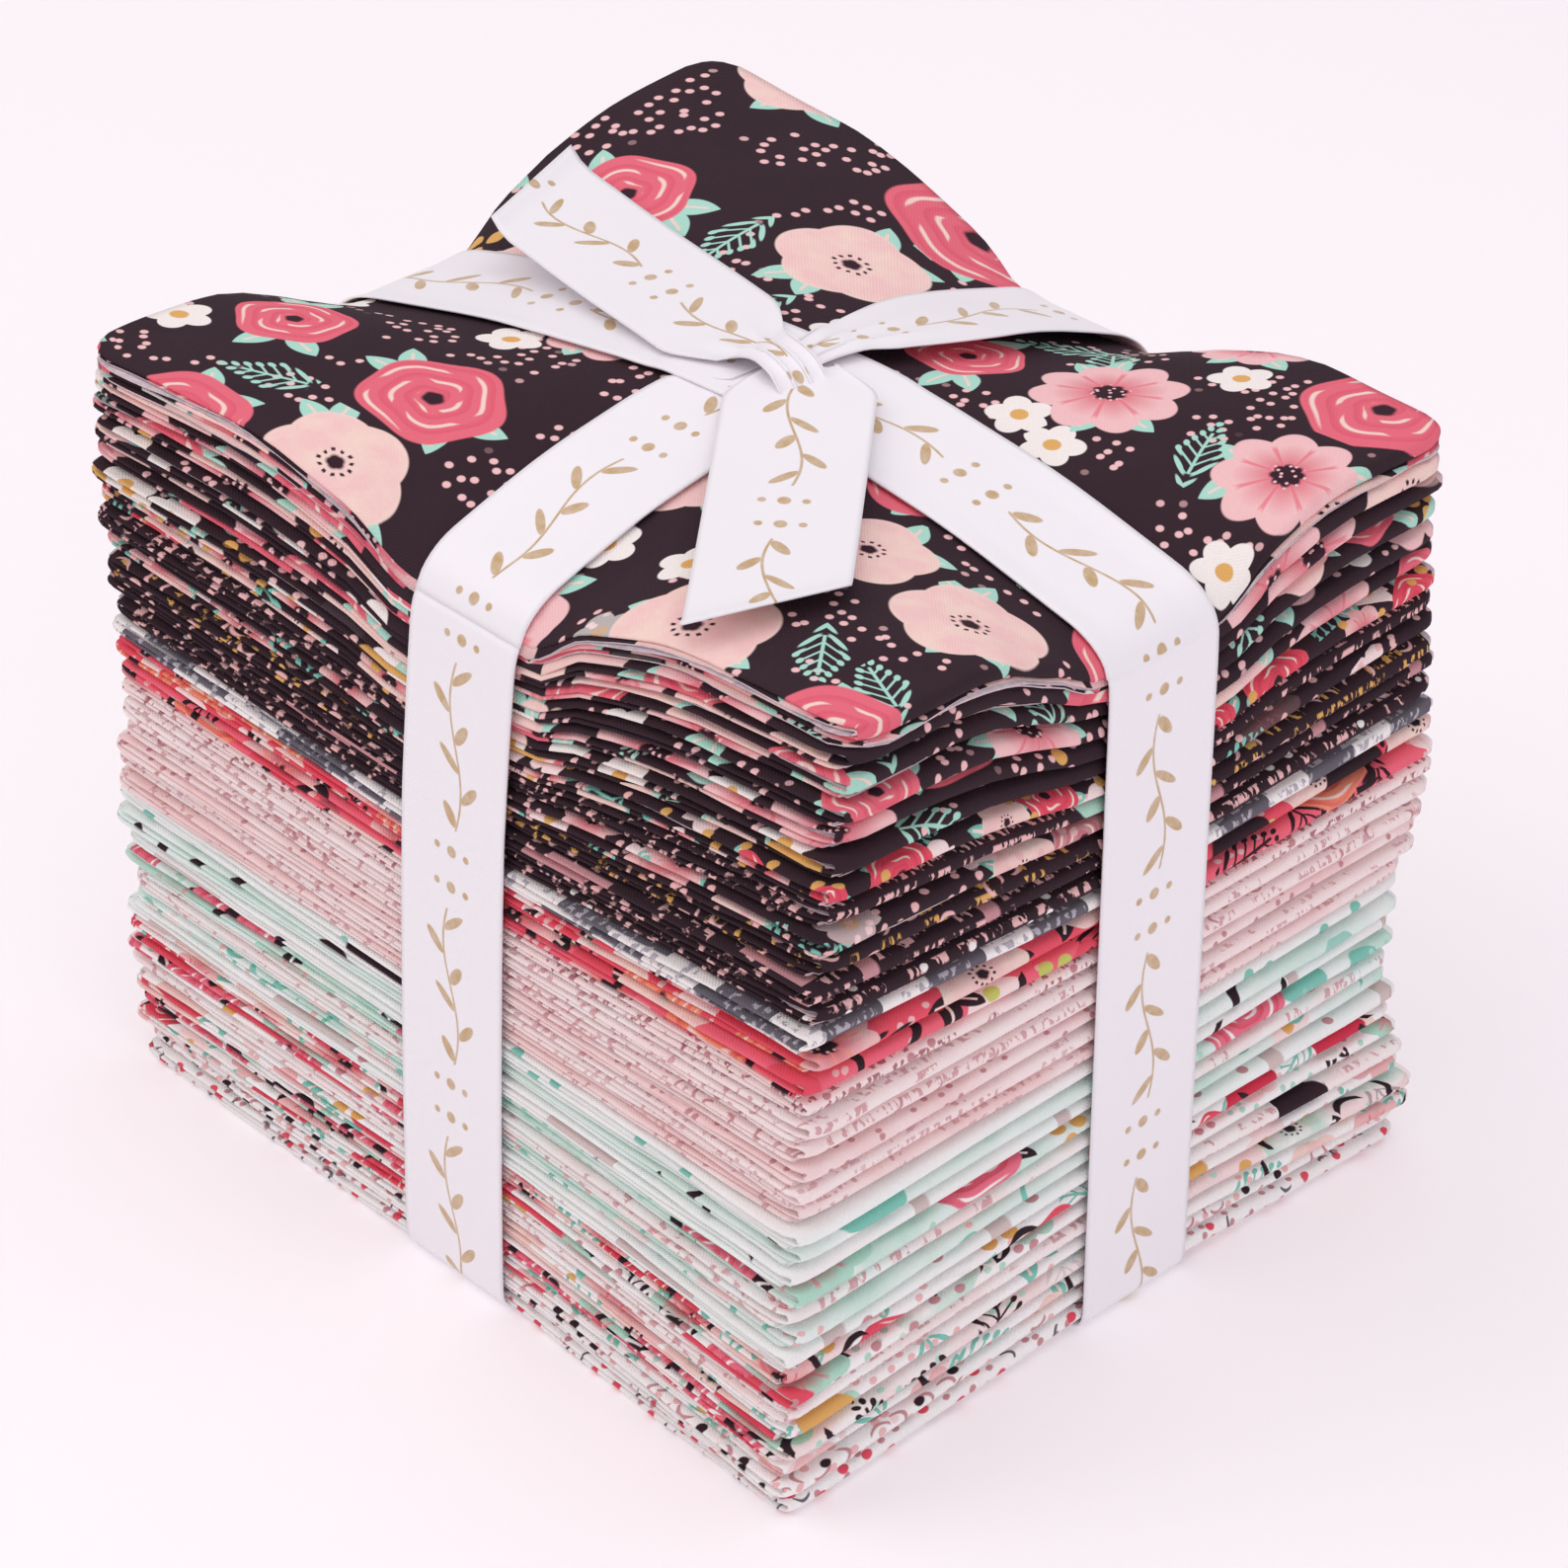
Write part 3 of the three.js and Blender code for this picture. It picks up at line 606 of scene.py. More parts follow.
def garden(colour, place, inks, spacing, share, seed):
    """Scattered flowers of three kinds with their leaves, and between them daisies, beaded
    sprigs, berries in threes and sprinkled dots. Small motifs keep clear of the flowers."""
    (x, y), draw, _ = scattered(place, spacing, seed, FLOWER_JITTER)
    far, turn = polar(x, y)
    size = spacing * (draw[2] * 0.15 + 0.27)
    flower = draw[1]
    first, third = flower.below(0.4, 0.01), flower.above(0.7, 0.01)
    second = 1 - first - third
    wanted = draw[0].below(share, 0.01)

    def clear_of_flowers(spot, room):
        """1 where the flower nearest to a small motif's middle is far enough away."""
        moved = spot.vector("ADD", ((seed - spot_seed) * 37.3, (seed - spot_seed) * 91.7, 0))
        values = {"Vector": moved, "Scale": 1 / spacing, "Randomness": FLOWER_JITTER}
        away = place.node("TexVoronoi", {"voronoi_dimensions": "2D"}, values, "Distance")
        return away.above(room, 0.01)

    spot_seed = seed + 1
    (dot_x, dot_y), _, spot = scattered(place, 3.3, spot_seed, 0.8)
    crowd = place.node("TexNoise", {}, {"Vector": spot, "Scale": 0.07, "Detail": 0.0})
    kept = crowd.above(0.5, 0.01) * clear_of_flowers(spot, 0.42)
    specks = polar(dot_x, dot_y)[0].below(0.72, 0.25) * kept
    colour = specks.over(colour, inks["pale"])

    spot_seed = seed + 2
    (sprig_x, sprig_y), sprig_draw, spot = scattered(place, spacing * 0.5, spot_seed, 0.5)
    kept = clear_of_flowers(spot, 0.45)
    kind = sprig_draw[1]
    long, broad, taper, twig_step = 6, 4.2, 0.45, 2.6
    side = sprig_y.math("ABSOLUTE")
    from_middle = sprig_x.math("ABSOLUTE")
    on_stem = from_middle.below(long, 0.3)
    past_tip = side - (broad - from_middle * taper)
    step = (((sprig_x - side) / twig_step).math("FRACT") - 0.5).math("ABSOLUTE") * twig_step
    twigs = step.below(0.3, 0.25) * past_tip.below(0, 0.3) * on_stem
    stem = side.below(0.3, 0.2) * on_stem
    beads = polar(step, past_tip)[0].below(0.85, 0.25)
    sprig = twigs.math("MAXIMUM", stem).math("MAXIMUM", beads) * kept * kind.below(0.4, 0.01)
    colour = sprig.over(colour, inks["leaf"])

    daisy_far, daisy_turn = polar(sprig_x, sprig_y)
    petal = (daisy_turn * 2.5).math("COSINE").math("ABSOLUTE") * 0.3 + 0.7
    daisy = kept * kind.above(0.66, 0.01)
    colour = ((daisy_far / petal).below(6, 0.3) * daisy).over(colour, inks["white"])
    colour = (daisy_far.below(1.6, 0.3) * daisy).over(colour, inks["gold"])

    third_turn = ((daisy_turn * (1.5 / math.pi)).math("FRACT") - 0.5) * (math.pi / 1.5)
    berry_x = daisy_far * third_turn.math("COSINE") - 2.4
    berry_y = daisy_far * third_turn.math("SINE")
    with_berries = kept * kind.above(0.4, 0.01) * kind.below(0.55, 0.01)
    berries = polar(berry_x, berry_y)[0].below(1.55, 0.25) * with_berries
    colour = berries.over(colour, inks["gold"])

    for start, lean, long in LEAVES:
        inside, rib = leaf(x, y, spacing * start, lean, spacing * long, spacing * LEAF_WIDE)
        colour = (inside * wanted).over(colour, inks["leaf"])
        colour = (rib * wanted).over(colour, inks["light"])
    ripple = (turn * 5 + 1).math("SINE") * 0.05 + 0.97
    colour = rosette(colour, far / (size * ripple), turn, first * wanted, inks)
    lobes = (turn * 4).math("COSINE").math("ABSOLUTE") * 0.2 + 0.8
    colour = cosmos(colour, far / (size * lobes), turn, second * wanted, inks, place)
    broad = (turn * 2.5).math("COSINE").math("ABSOLUTE") * 0.14 + 0.88
    return wash_flower(colour, far / (size * broad), turn, third * wanted, inks, place)


MOTIFS = {
    "blots": blots, "dots": dots, "strokes": strokes, "stripes": stripes, "script": script,
    "washes": washes, "garden": garden,
}


PRINT_ROUGH, BACK_ROUGH, PRINT_SHINE = 0.88, 0.92, 0.25
COTTON_THREAD, COTTON_WEAVE = 0.36, 0.35


def printed_cotton(name, ground, motifs, seed):
    """Quilting cotton with its motifs laid over the ground one after another."""
    material, tree, shader = new_material(name, PRINT_ROUGH)
    shader.inputs["Specular IOR Level"].default_value = PRINT_SHINE
    place = on_cloth(tree)
    cloud = place.node("TexNoise", {}, {"Vector": place, "Scale": 0.05, "Detail": 4.0})
    paler = tuple(min(1, v * 1.12 + 0.004) for v in ground[:3]) + (1,)
    colour = cloud.above(0.5, 0.6).over(ground, paler)
    for number, (motif, ink, spacing, share) in enumerate(motifs):
        colour = MOTIFS[motif](colour, place, ink, spacing, share, seed + 3.7 * number)
    tree.links.new(colour.socket, shader.inputs["Base Color"])
    weave(tree, place, shader, COTTON_THREAD, COTTON_WEAVE)
    return material


def plain_cotton(name, colour, through):
    """The unprinted back of the cloth, or its cut edge, where the print shows through a little."""
    material, tree, shader = new_material(name, BACK_ROUGH)
    place = on_cloth(tree)
    threads = place.node("TexNoise", {}, {"Vector": place, "Scale": 0.6, "Detail": 4.0})
    shown = place.node("TexNoise", {}, {"Vector": place, "Scale": 0.07, "Detail": 3.0})
    marks = place.node("TexNoise", {}, {"Vector": place, "Scale": 0.28, "Detail": 2.0})
    back = shown.above(0.47, 0.12).over(colour, through[0])
    back = marks.above(0.6, 0.06).over(back, through[1])
    back = (threads.above(0.5, 0.5) * 0.5).over(back, paint(250, 244, 246))
    tree.links.new(back.socket, shader.inputs["Base Color"])
    weave(tree, place, shader, COTTON_THREAD, COTTON_WEAVE)
    return material


STEPS = (22, 18)  # points along a level and across a ply
REVERSES = {}  # the backs, one for each group of pieces


def lay(piece, slot, ground, motifs, back, steps=STEPS):
    """Makes one fat quarter, in the place that its CAD solid holds. `back` is the colour of its
    unprinted side and two of the print that show through there."""
    name = f"fat_quarter_{piece + 1:02d}"
    if slot not in REVERSES:
        REVERSES[slot] = plain_cotton(slot + "_back", back[0], back[1:])
    face = printed_cotton(name + "_print", ground, motifs, piece + 1)
    places, flat = folded_places(piece, steps)
    cloth = laid_grid(name + "_cloth", places, flat, [face, REVERSES[slot], REVERSES[slot]])
    thick = cloth.modifiers.new("thickness", "SOLIDIFY")
    thick.thickness = CLOTH_THICK * MM
    thick.offset = 0
    thick.material_offset = 1
    thick.material_offset_rim = 2
    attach(cloth, "root")
    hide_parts(name)
    return cloth


BLACK, CHARCOAL, WHITE = paint(50, 31, 40), paint(104, 98, 108), paint(255, 249, 248)
CORAL, ROSE, BLUSH = paint(234, 84, 104), paint(242, 120, 142), paint(246, 194, 194)
GOLD, MINT, TEAL = paint(232, 178, 104), paint(184, 228, 210), paint(134, 206, 190)
PALE_MINT, PALE_PINK, DUSTY = paint(241, 249, 245), paint(255, 230, 229), paint(208, 150, 156)
RED, EARTH, FAINT = paint(216, 54, 80), paint(220, 200, 198), paint(224, 176, 180)
POSY_INKS = {
    "deep": CORAL, "shade": RED, "light": paint(252, 224, 214), "heart": BLACK, "pale": BLUSH,
    "leaf": TEAL, "gold": GOLD, "white": PALE_PINK,
}
INKY_INKS = {**POSY_INKS, "leaf": BLACK, "pale": MINT, "deep": ROSE, "light": WHITE}

WHITE_PRINTS = [
    [("dots", DUSTY, 3.4, 0.7), ("dots", CORAL, 5, 0.5), ("strokes", CHARCOAL, 4, 0.35)],
    [("dots", BLUSH, 4, 0.8), ("strokes", DUSTY, 5, 0.6), ("dots", BLACK, 5, 0.4)],
    [("garden", POSY_INKS, 22, 0.9), ("strokes", BLACK, 8, 0.3)],
    [("washes", BLUSH, 16, 0.5), ("garden", INKY_INKS, 27, 0.9), ("strokes", BLACK, 10, 0.35)],
    [("blots", MINT, 20, 0.4), ("garden", POSY_INKS, 30, 1.0), ("blots", GOLD, 24, 0.2)],
    [("washes", PALE_PINK, 20, 0.6), ("script", FAINT, 3.2, 0.6), ("blots", BLACK, 26, 0.15)],
    [("garden", INKY_INKS, 24, 0.8), ("blots", CORAL, 26, 0.25), ("dots", DUSTY, 5, 0.3)],
    [("garden", POSY_INKS, 19, 1.0), ("blots", RED, 30, 0.3), ("strokes", BLACK, 9, 0.4)],
]
WHITE_BACK = paint(255, 249, 248), paint(250, 232, 232), paint(238, 202, 206)
for number, motifs in enumerate(WHITE_PRINTS):
    lay(number, "cotton_white", WHITE, motifs, WHITE_BACK)

# The mint fat quarters are the next seven, printed in greens so pale that they look white from a
# distance, with a few dark motifs. They are the same cotton, folded the same way.
MINT_PRINTS = [
    [("washes", WHITE, 18, 0.7), ("stripes", EARTH, 34, 0.25), ("dots", DUSTY, 6, 0.3)],
    [("washes", MINT, 24, 0.6), ("garden", POSY_INKS, 30, 0.5), ("strokes", TEAL, 7, 0.3)],
    [("washes", PALE_PINK, 26, 0.8), ("script", FAINT, 3.4, 0.5), ("blots", BLACK, 30, 0.12)],
    [("washes", MINT, 20, 0.8), ("blots", TEAL, 26, 0.3), ("garden", INKY_INKS, 34, 0.5)],
    [("washes", WHITE, 22, 0.8), ("stripes", EARTH, 30, 0.2), ("strokes", BLACK, 12, 0.25)],
    [("washes", MINT, 26, 0.5), ("strokes", BLACK, 14, 0.35), ("blots", TEAL, 28, 0.25)],
    [("washes", WHITE, 30, 0.7), ("blots", BLACK, 34, 0.14), ("dots", TEAL, 7, 0.25)],
]
MINT_BACK = paint(253, 252, 250), paint(236, 248, 242), paint(220, 236, 230)
for number, motifs in enumerate(MINT_PRINTS):
    lay(8 + number, "cotton_mint", PALE_MINT, motifs, MINT_BACK)

# The pink fat quarters are seven. Six are printed tone on tone: small marks and clouds in dusty
# rose on shell pink, which show as rows of faint ticks along their folds. The uppermost has a
# large print of blossom on rose, much like the coral one above it.
PINK_PRINTS = [
    [("washes", BLUSH, 22, 0.5), ("script", FAINT, 2.6, 0.5)],
    [("script", FAINT, 2.4, 0.8), ("washes", WHITE, 30, 0.3)],
    [("washes", BLUSH, 16, 0.5), ("dots", DUSTY, 3, 0.6)],
    [("script", FAINT, 2.8, 0.9), ("strokes", DUSTY, 4, 0.3)],
    [("washes", WHITE, 14, 0.5), ("script", FAINT, 2.5, 0.6)],
    [("script", paint(184, 122, 130), 2.4, 0.7), ("dots", DUSTY, 4, 0.3)],
]
PINK_BACK = paint(255, 238, 237), paint(253, 226, 226), paint(240, 200, 204)
for number, motifs in enumerate(PINK_PRINTS):
    lay(15 + number, "cotton_pink", PALE_PINK, motifs, PINK_BACK)
CORAL_INKS = {
    **POSY_INKS, "deep": paint(252, 150, 122), "shade": RED, "leaf": BLACK,
    "gold": paint(206, 208, 110),
}
ROSY_MOTIFS = [("garden", CORAL_INKS, 32, 0.6), ("blots", CORAL, 22, 0.5), ("strokes", BLACK, 12, 0.3)]
lay(21, "cotton_pink", paint(240, 104, 124), ROSY_MOTIFS, PINK_BACK)

# One coral fat quarter parts the pink ones from the dark ones, with a large print of blossom
# that its folds cut into patches.
CORAL_MOTIFS = [("garden", CORAL_INKS, 27, 0.9), ("blots", GOLD, 26, 0.25), ("blots", BLACK, 30, 0.15)]
CORAL_BACK = paint(246, 190, 188), paint(240, 160, 164), paint(250, 214, 200)
lay(22, "cotton_coral", CORAL, CORAL_MOTIFS, CORAL_BACK)

# The grey fat quarter above it is the same cotton, printed as a stripe in blocks of charcoal and
# white that are set off against each other from row to row.
GREY_MOTIFS = [("stripes", WHITE, 22, 0.9), ("script", paint(190, 184, 194), 2.4, 0.9)]
GREY_BACK = paint(196, 190, 200), paint(236, 232, 238), paint(150, 144, 154)
lay(23, "cotton_grey", CHARCOAL, GREY_MOTIFS, GREY_BACK)

# The black fat quarters are the upper twelve: small pink and gold motifs on black in the
# lower ones, large flowers in coral, pink and mint in the upper ones.
SMALL_ON_BLACK = [
    [("script", BLUSH, 3.2, 0.8), ("dots", WHITE, 4, 0.35)],
    [("script", BLUSH, 3.6, 0.7), ("stripes", DUSTY, 26, 0.25)],
    [("script", GOLD, 3.4, 0.5), ("strokes", BLUSH, 5, 0.5)],
    [("garden", {**POSY_INKS, "deep": DUSTY}, 20, 0.6), ("dots", BLUSH, 4, 0.5)],
    [("script", BLUSH, 3, 0.9), ("blots", MINT, 26, 0.15)],
    [("garden", POSY_INKS, 18, 0.7), ("dots", GOLD, 5, 0.4)],
]
GARDEN_INKS = {
    "deep": paint(238, 112, 130), "shade": paint(226, 84, 108), "light": paint(252, 220, 210),
    "heart": paint(56, 30, 42), "pale": paint(250, 200, 202), "leaf": paint(178, 228, 212),
    "gold": paint(232, 178, 104), "white": paint(252, 244, 240),
}
LARGE_ON_BLACK = [
    [("garden", GARDEN_INKS, 26, 0.9), ("blots", GOLD, 30, 0.2)],
    [("garden", GARDEN_INKS, 37, 1.0)],
    [("garden", GARDEN_INKS, 30, 1.0), ("blots", MINT, 34, 0.2)],
    [("garden", GARDEN_INKS, 37, 1.0)],
    [("garden", GARDEN_INKS, 33, 1.0)],
]
DARK_BACK = paint(176, 154, 166), paint(208, 186, 194), paint(232, 188, 194)
for number, motifs in enumerate(SMALL_ON_BLACK + LARGE_ON_BLACK):
    lay(24 + number, "cotton_black", BLACK, motifs, DARK_BACK)
TOP_STEPS = (60, 50)
lay(35, "cotton_black", BLACK, [("garden", GARDEN_INKS, 37, 1.0)], DARK_BACK, TOP_STEPS)

# The ribbon is one length of inch-wide white satin, tied round the stack both ways. Each loop
# is a band laid over the cloth, drawn tight down the faces and flat under the bundle.
RIBBON_HALF = 12.7
RIBBON_CLEAR = 0.45
RIBBON_THICK = 0.35
RIBBON_FACE = STRIP_SWAY + RIBBON_CLEAR - PULL
TOP_POINTS, FACE_POINTS, UNDER_POINTS = 360, 60, 90
LOOP_STEP = 1.5
LOOP_ROUNDING = 5
ACROSS = np.linspace(-RIBBON_HALF, RIBBON_HALF, 25)
KNOT_X, KNOT_Y = 6.5, -0.5
CROSSING_LIFT = 0.45  # the loop along the length passes over the other one
PINCHED = 0.26  # the share of its width that is left where the ribbon enters the knot
PLEATS, PLEAT_BACK, PLEAT_HIGH = 3, 1.2, 1.3


def gathered(share):
    """How far each thread lies from the middle line of a ribbon that is drawn together to a
    share of its width, and how high its pleats stand."""
    turn = ACROSS / RIBBON_HALF * PLEATS * math.pi
    across = ACROSS * share + PLEAT_BACK * (1 - share) * np.sin(turn)
    return across, PLEAT_HIGH * (1 - share) * (1 - np.cos(turn)) / 2


def top_height(x, y):
    """Height of the stack's top at a real place."""
    return stack_height(PIECES, x, y, x - drift_x(0), y - drift_y(0)) + creases(PIECES, x, y)


def loop_path(along_x):
    """The middle line of one loop: over the top, down a face, under the stack and up again. Also
    its length, and the two places where it goes over the top's edges."""
    half = HALF_LONG if along_x else HALF_SHORT
    heights = np.linspace(0, 1, FACE_POINTS)

    def face(side, share):
        lean = 0 if along_x or side > 0 else np.interp(share, CORNERS_AT, CORNERS_OUT["near"]) / 2
        return side * (half + RIBBON_FACE - lean)

    top = np.linspace(face(-1, 1), face(1, 1), TOP_POINTS)
    at = (top, drift_y(top)) if along_x else (drift_x(top), top)
    over = np.stack([top, top_height(*at) + RIBBON_CLEAR], axis=1)
    sides = []
    for side, rim in ((1, over[-1, 1]), (-1, over[0, 1])):
        steady = HEIGHT * (heights + FAN * (heights**2 - heights)) - PINCH * heights**PINCH_FADE
        distance = np.array([face(side, share) for share in heights])
        sides.append(np.stack([distance, np.clip(steady, RIBBON_THICK / 2, rim)], axis=1))
    below = np.linspace(face(1, 0), face(-1, 0), UNDER_POINTS)
    under = np.stack([below, np.full(UNDER_POINTS, RIBBON_THICK / 2)], axis=1)
    path = np.concatenate([over, sides[0][::-1], under, sides[1]])
    steps = np.linalg.norm(np.diff(path, axis=0, append=path[:1]), axis=1)
    way = np.concatenate([[0], np.cumsum(steps)])
    at = np.linspace(0, way[-1], int(way[-1] / LOOP_STEP) + 1)[:-1]
    closed = np.concatenate([path, path[:1]])
    line = np.stack([np.interp(at, way, closed[:, n]) for n in range(2)], axis=1)
    for _ in range(LOOP_ROUNDING):
        line = (np.roll(line, 1, axis=0) + 2 * line + np.roll(line, -1, axis=0)) / 4
    return np.concatenate([line, line[:1]]), way[-1], (top[0], top[-1])


def gold_sprigs(place):
    """Where the gold print is: bent stems with leaves by turns on either side, parted by dots."""
    along, across, _ = place.parts()
    repeat, stem_half, leaf_step = 47, 15.5, 5.2
    u = ((along / repeat).math("FRACT") - 0.5) * repeat
    from_middle = u.math("ABSOLUTE")
    off = across - RIBBON_HALF - (u * 0.17).math("SINE") * 1.9
    on_stem = from_middle.below(stem_half, 0.4)
    stem = off.math("ABSOLUTE").below(0.24, 0.2) * on_stem
    number = (u / leaf_step).math("FLOOR")
    side = (number / 2).math("FRACT") * 4 - 1
    leaf_x = (u / leaf_step).math("FRACT") * leaf_step - 2.7
    leaf_y = off * side - 2.1
    long = (leaf_x * 0.72 + leaf_y * 0.69) / 2.7
    wide = (leaf_y * 0.72 - leaf_x * 0.69) / 0.95
    leaves = (long * long + wide * wide).below(1, 0.3) * on_stem
    dot_x = from_middle - 20
    dot_y = across - RIBBON_HALF
    middle_dot = polar(dot_x, dot_y)[0].below(1.1, 0.25)
    side_dots = polar(dot_x, dot_y.math("ABSOLUTE") - 3.6)[0].below(0.7, 0.25)
    return stem.math("MAXIMUM", leaves).math("MAXIMUM", middle_dot).math("MAXIMUM", side_dots)


SATIN_ROUGH, SATIN_SHEEN = 0.42, 0.2
SATIN_THREAD, SATIN_WEAVE = 0.2, 0.1
SATIN_WHITE, SATIN_GOLD = paint(250, 246, 251), paint(196, 158, 96)


def satin(name):
    """White satin with a gold print: fine threads along it, smooth and a little glossy."""
    material, tree, shader = new_material(name, SATIN_ROUGH)
    place = on_cloth(tree)
    gold = gold_sprigs(place)
    worn = place.node("TexNoise", {}, {"Vector": place, "Scale": 0.5, "Detail": 3.0})
    colour = (gold * (worn.above(0.42, 0.5) * 0.35 + 0.6)).over(SATIN_WHITE, SATIN_GOLD)
    tree.links.new(colour.socket, shader.inputs["Base Color"])
    shader.inputs["Sheen Weight"].default_value = SATIN_SHEEN
    weave(tree, place, shader, SATIN_THREAD, SATIN_WEAVE)
    return material


RIBBON_SATIN = satin("white_satin")


def lay_ribbon(name, places, flat, length):
    band = laid_grid(name, places * MM, flat * MM, [RIBBON_SATIN])
    thick = band.modifiers.new("thickness", "SOLIDIFY")
    thick.thickness = RIBBON_THICK * MM
    thick.offset = 0
    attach(band, "root")
    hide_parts("ribbon")
    size = (2 * RIBBON_HALF * MM, length * MM)
    return band


WIDENS_IN = 40  # how far behind the knot the drawn strand has its full width again
NARROW_PAST, WIDENS_PAST = 6, 8  # and how it widens on the other side of the knot
STRAND_LOOSE, STRAND_LEAN, STRAND_EVEN = 2.6, 0.5, 0.6  # the strand stands off the cloth, tilted
STRAND_OVER = 1.1  # it passes over the other loop
BAND_ROOM, BAND_EASE = 8, 6
STRAND_START, STRAND_ROOM, STRAND_EASE, STRAND_FALL = 1, 7, 4, 8
ON_TOP_FROM, ON_TOP_EASE = 4, 3  # how far under the top's height a face begins
RIM_FADE = 0.1
for along_x, name in ((True, "ribbon_long_way"), (False, "ribbon_short_way")):
    line, length, rims = loop_path(along_x)
    half = HALF_LONG if along_x else HALF_SHORT
    run, height = line[:, :1], line[:, 1:]
    held = np.clip(run, -half, half)
    middle_top = top_height(run, drift_y(held)) if along_x else top_height(drift_x(held), run)
    past_rim = np.maximum(rims[0] - run, run - rims[1])
    on_top = eased((height - middle_top - RIBBON_CLEAR + ON_TOP_FROM) / ON_TOP_EASE)
    on_top = on_top * eased(1 - past_rim / RIM_FADE)
    if along_x:
        across, pleats = gathered(np.ones_like(run))
        lift = CROSSING_LIFT * eased((RIBBON_HALF + BAND_ROOM - np.abs(run - KNOT_X)) / BAND_EASE)
        x, y = run + 0 * across, across + drift_y(held)
    else:
        behind = np.where(on_top > 0, run - KNOT_Y, WIDENS_IN)
        width_behind = mix(PINCHED, 1, eased(behind / WIDENS_IN))
        width_past = np.maximum(PINCHED, eased((-behind - NARROW_PAST) / WIDENS_PAST))
        across, pleats = gathered(np.where(behind > 0, width_behind, width_past))
        rises = eased((behind - STRAND_START) / STRAND_EASE)
        falls = eased((RIBBON_HALF + STRAND_ROOM - behind) / STRAND_FALL)
        share = np.clip(behind / (half - KNOT_Y), 0, 1)
        loose = STRAND_LOOSE * np.sin(math.pi * share) * (behind > 0)
        tilt = STRAND_EVEN - STRAND_LEAN * across / RIBBON_HALF
        lift = STRAND_OVER * rises * falls + loose * tilt
        x, y = drift_x(held) - across, run + 0 * across
    clear = top_height(x, y) + RIBBON_CLEAR
    z = height + on_top * (np.maximum(0, clear - height) + lift + pleats)
    way = np.linspace(0, length, len(line))[:, None]
    flat = np.stack(np.broadcast_arrays(way, ACROSS + RIBBON_HALF), axis=-1)
    places = np.stack([x + MIDDLE_X, y + MIDDLE_Y, z], axis=-1)
    lay_ribbon(name, places, flat, length)

# The ribbon's two free ends leave the knot on top: the front one lies towards the near corner
# over both loops, the back one along the loop to the left. Each is cut on a slant. The back
# one starts as the wrap of the knot, over the drawn strand and the start of the other end.
FREE_ENDS = [
    {"name": "ribbon_front_end", "from": (7.5, 4), "end": (58, -53), "slant": -14, "lift": 1.6,
     "widens": (0, 13), "wrap": 0, "tuck": 3},
    {"name": "ribbon_back_end", "from": (15.5, -3), "end": (-74, 15), "slant": -16, "lift": 1.3,
     "widens": (10, 30), "wrap": 2.6, "tuck": 5},
]
END_POINTS, END_ROUNDING = 56, 6
END_PINCHED = PINCHED + 0.1
WRAP_HALF = 9  # half the length of the wrap over the knot
TUCK_DEEP = 1.4  # how far the start of an end is tucked under
for row in FREE_ENDS:
    start = np.array(row["from"], float)
    run = np.array(row["end"], float) - start
    length = float(np.hypot(*run))
    ahead = run / length
    aside = np.array([-ahead[1], ahead[0]])
    share = np.linspace(0, 1, END_POINTS)[:, None]
    along = share * (length + row["slant"] * ACROSS / (2 * RIBBON_HALF))
    narrow, full = row["widens"]
    width = mix(END_PINCHED, 1, eased((share * length - narrow) / (full - narrow)))
    across, pleats = gathered(width)
    x = start[0] + ahead[0] * along + aside[0] * across
    y = start[1] + ahead[1] * along + aside[1] * across
    under = top_height(x, y).max(axis=1, keepdims=True)
    for _ in range(END_ROUNDING):
        under = np.maximum(under, (np.roll(under, 1, axis=0) + np.roll(under, -1, axis=0)) / 2)
    over_knot = row["wrap"] * np.maximum(0, 1 - ((share * length - WRAP_HALF) / WRAP_HALF) ** 2)
    tucked = TUCK_DEEP * (1 - eased(share * length / row["tuck"]))
    z = under + RIBBON_CLEAR + row["lift"] + over_knot - tucked + pleats
    flat = np.stack(np.broadcast_arrays(along, ACROSS + RIBBON_HALF), axis=-1)
    lay_ribbon(row["name"], np.stack([x + MIDDLE_X, y + MIDDLE_Y, z], axis=-1), flat, length)

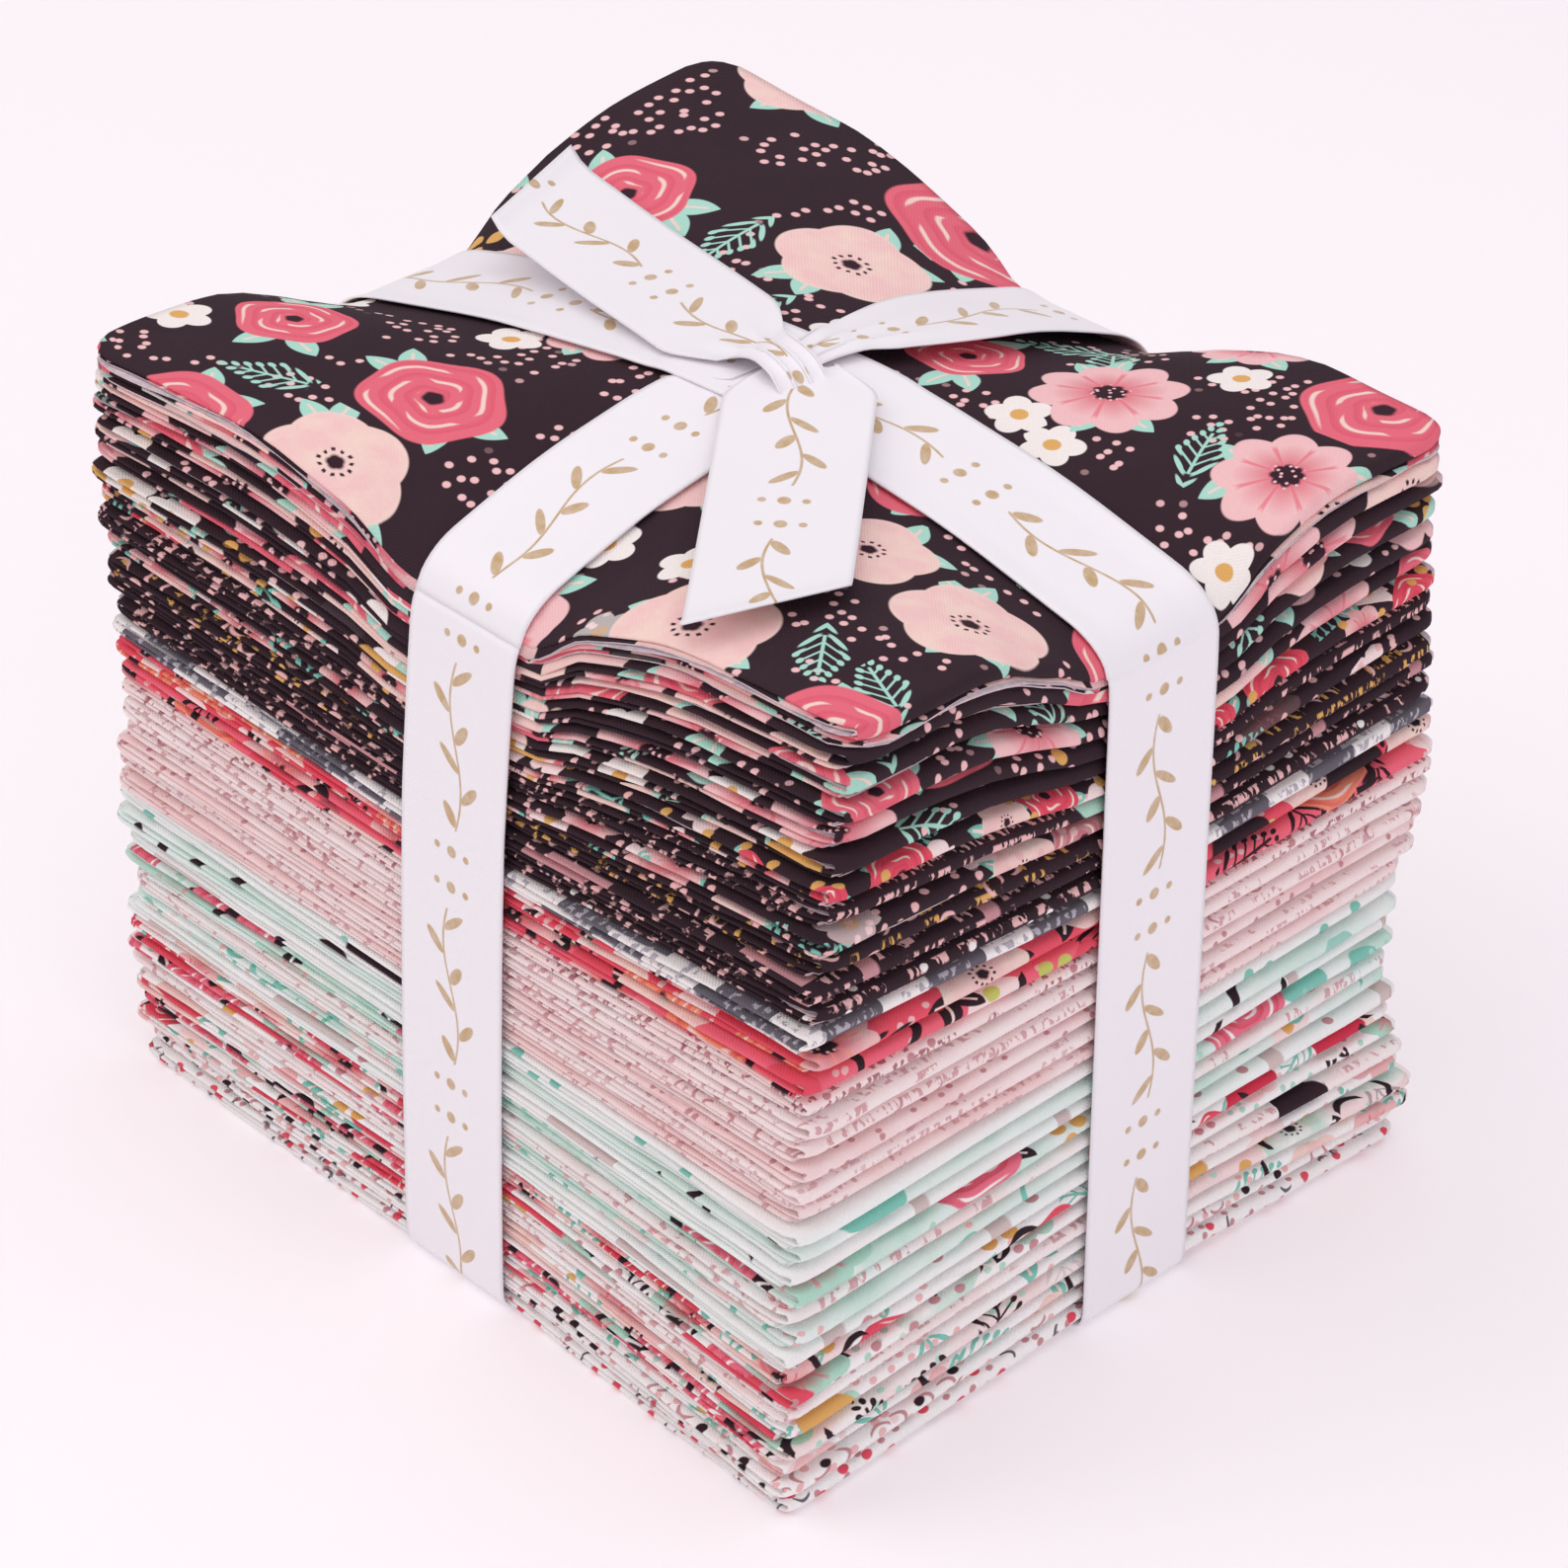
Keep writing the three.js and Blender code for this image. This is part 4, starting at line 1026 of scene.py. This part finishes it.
# The floor is a plain pale sheet that runs on into an even pale backdrop. Three large soft lamps
# light it, one overhead and one from each side, and it glows a little so that it stays white.
FLOOR_COLOUR = paint(248, 243, 246)
FLOOR_HALF, FLOOR_ROUGH, FLOOR_GLOW = 6, 0.9, 0.16
BACKDROP_COLOUR, BACKDROP_LIGHT = (0.95, 0.92, 0.96, 1), 0.52
floor_grid = bmesh.new()
bmesh.ops.create_grid(floor_grid, x_segments=2, y_segments=2, size=FLOOR_HALF)
floor_mesh = bpy.data.meshes.new("floor")
floor_grid.to_mesh(floor_mesh)
floor_grid.free()
floor = bpy.data.objects.new("floor", floor_mesh)
bpy.context.scene.collection.objects.link(floor)
floor_material, floor_tree, floor_shader = new_material("pale_floor", FLOOR_ROUGH)
floor_shader.inputs["Base Color"].default_value = FLOOR_COLOUR
floor_shader.inputs["Emission Color"].default_value = FLOOR_COLOUR
floor_shader.inputs["Emission Strength"].default_value = FLOOR_GLOW
floor_mesh.materials.append(floor_material)

bpy.context.scene.view_settings.view_transform = "Standard"
world = bpy.data.worlds.new("studio")
bpy.context.scene.world = world
world.use_nodes = True
world.node_tree.nodes["Background"].inputs["Color"].default_value = BACKDROP_COLOUR
world.node_tree.nodes["Background"].inputs["Strength"].default_value = BACKDROP_LIGHT
LAMPS = [
    {"name": "ceiling", "at": (0.1, 0.1, 1.6), "watts": 8.2, "size": 1.6,
     "colour": (1, 0.98, 1)},
    {"name": "window_left", "at": (-0.9, -0.9, 1.3), "watts": 6.9, "size": 1.2,
     "colour": (1, 0.94, 0.9)},
    {"name": "window_right", "at": (1.3, -0.4, 0.9), "watts": 3.4, "size": 1.2,
     "colour": (1, 0.97, 1)},
]
for row in LAMPS:
    lamp = bpy.data.objects.new(row["name"], bpy.data.lights.new(row["name"], "AREA"))
    bpy.context.scene.collection.objects.link(lamp)
    lamp.data.energy = row["watts"]
    lamp.data.size = row["size"]
    lamp.data.color = row["colour"]
    lamp.location = row["at"]
    lamp.rotation_mode = "QUATERNION"
    lamp.rotation_quaternion = (LOOKED_AT - Vector(row["at"])).to_track_quat("-Z", "Y")
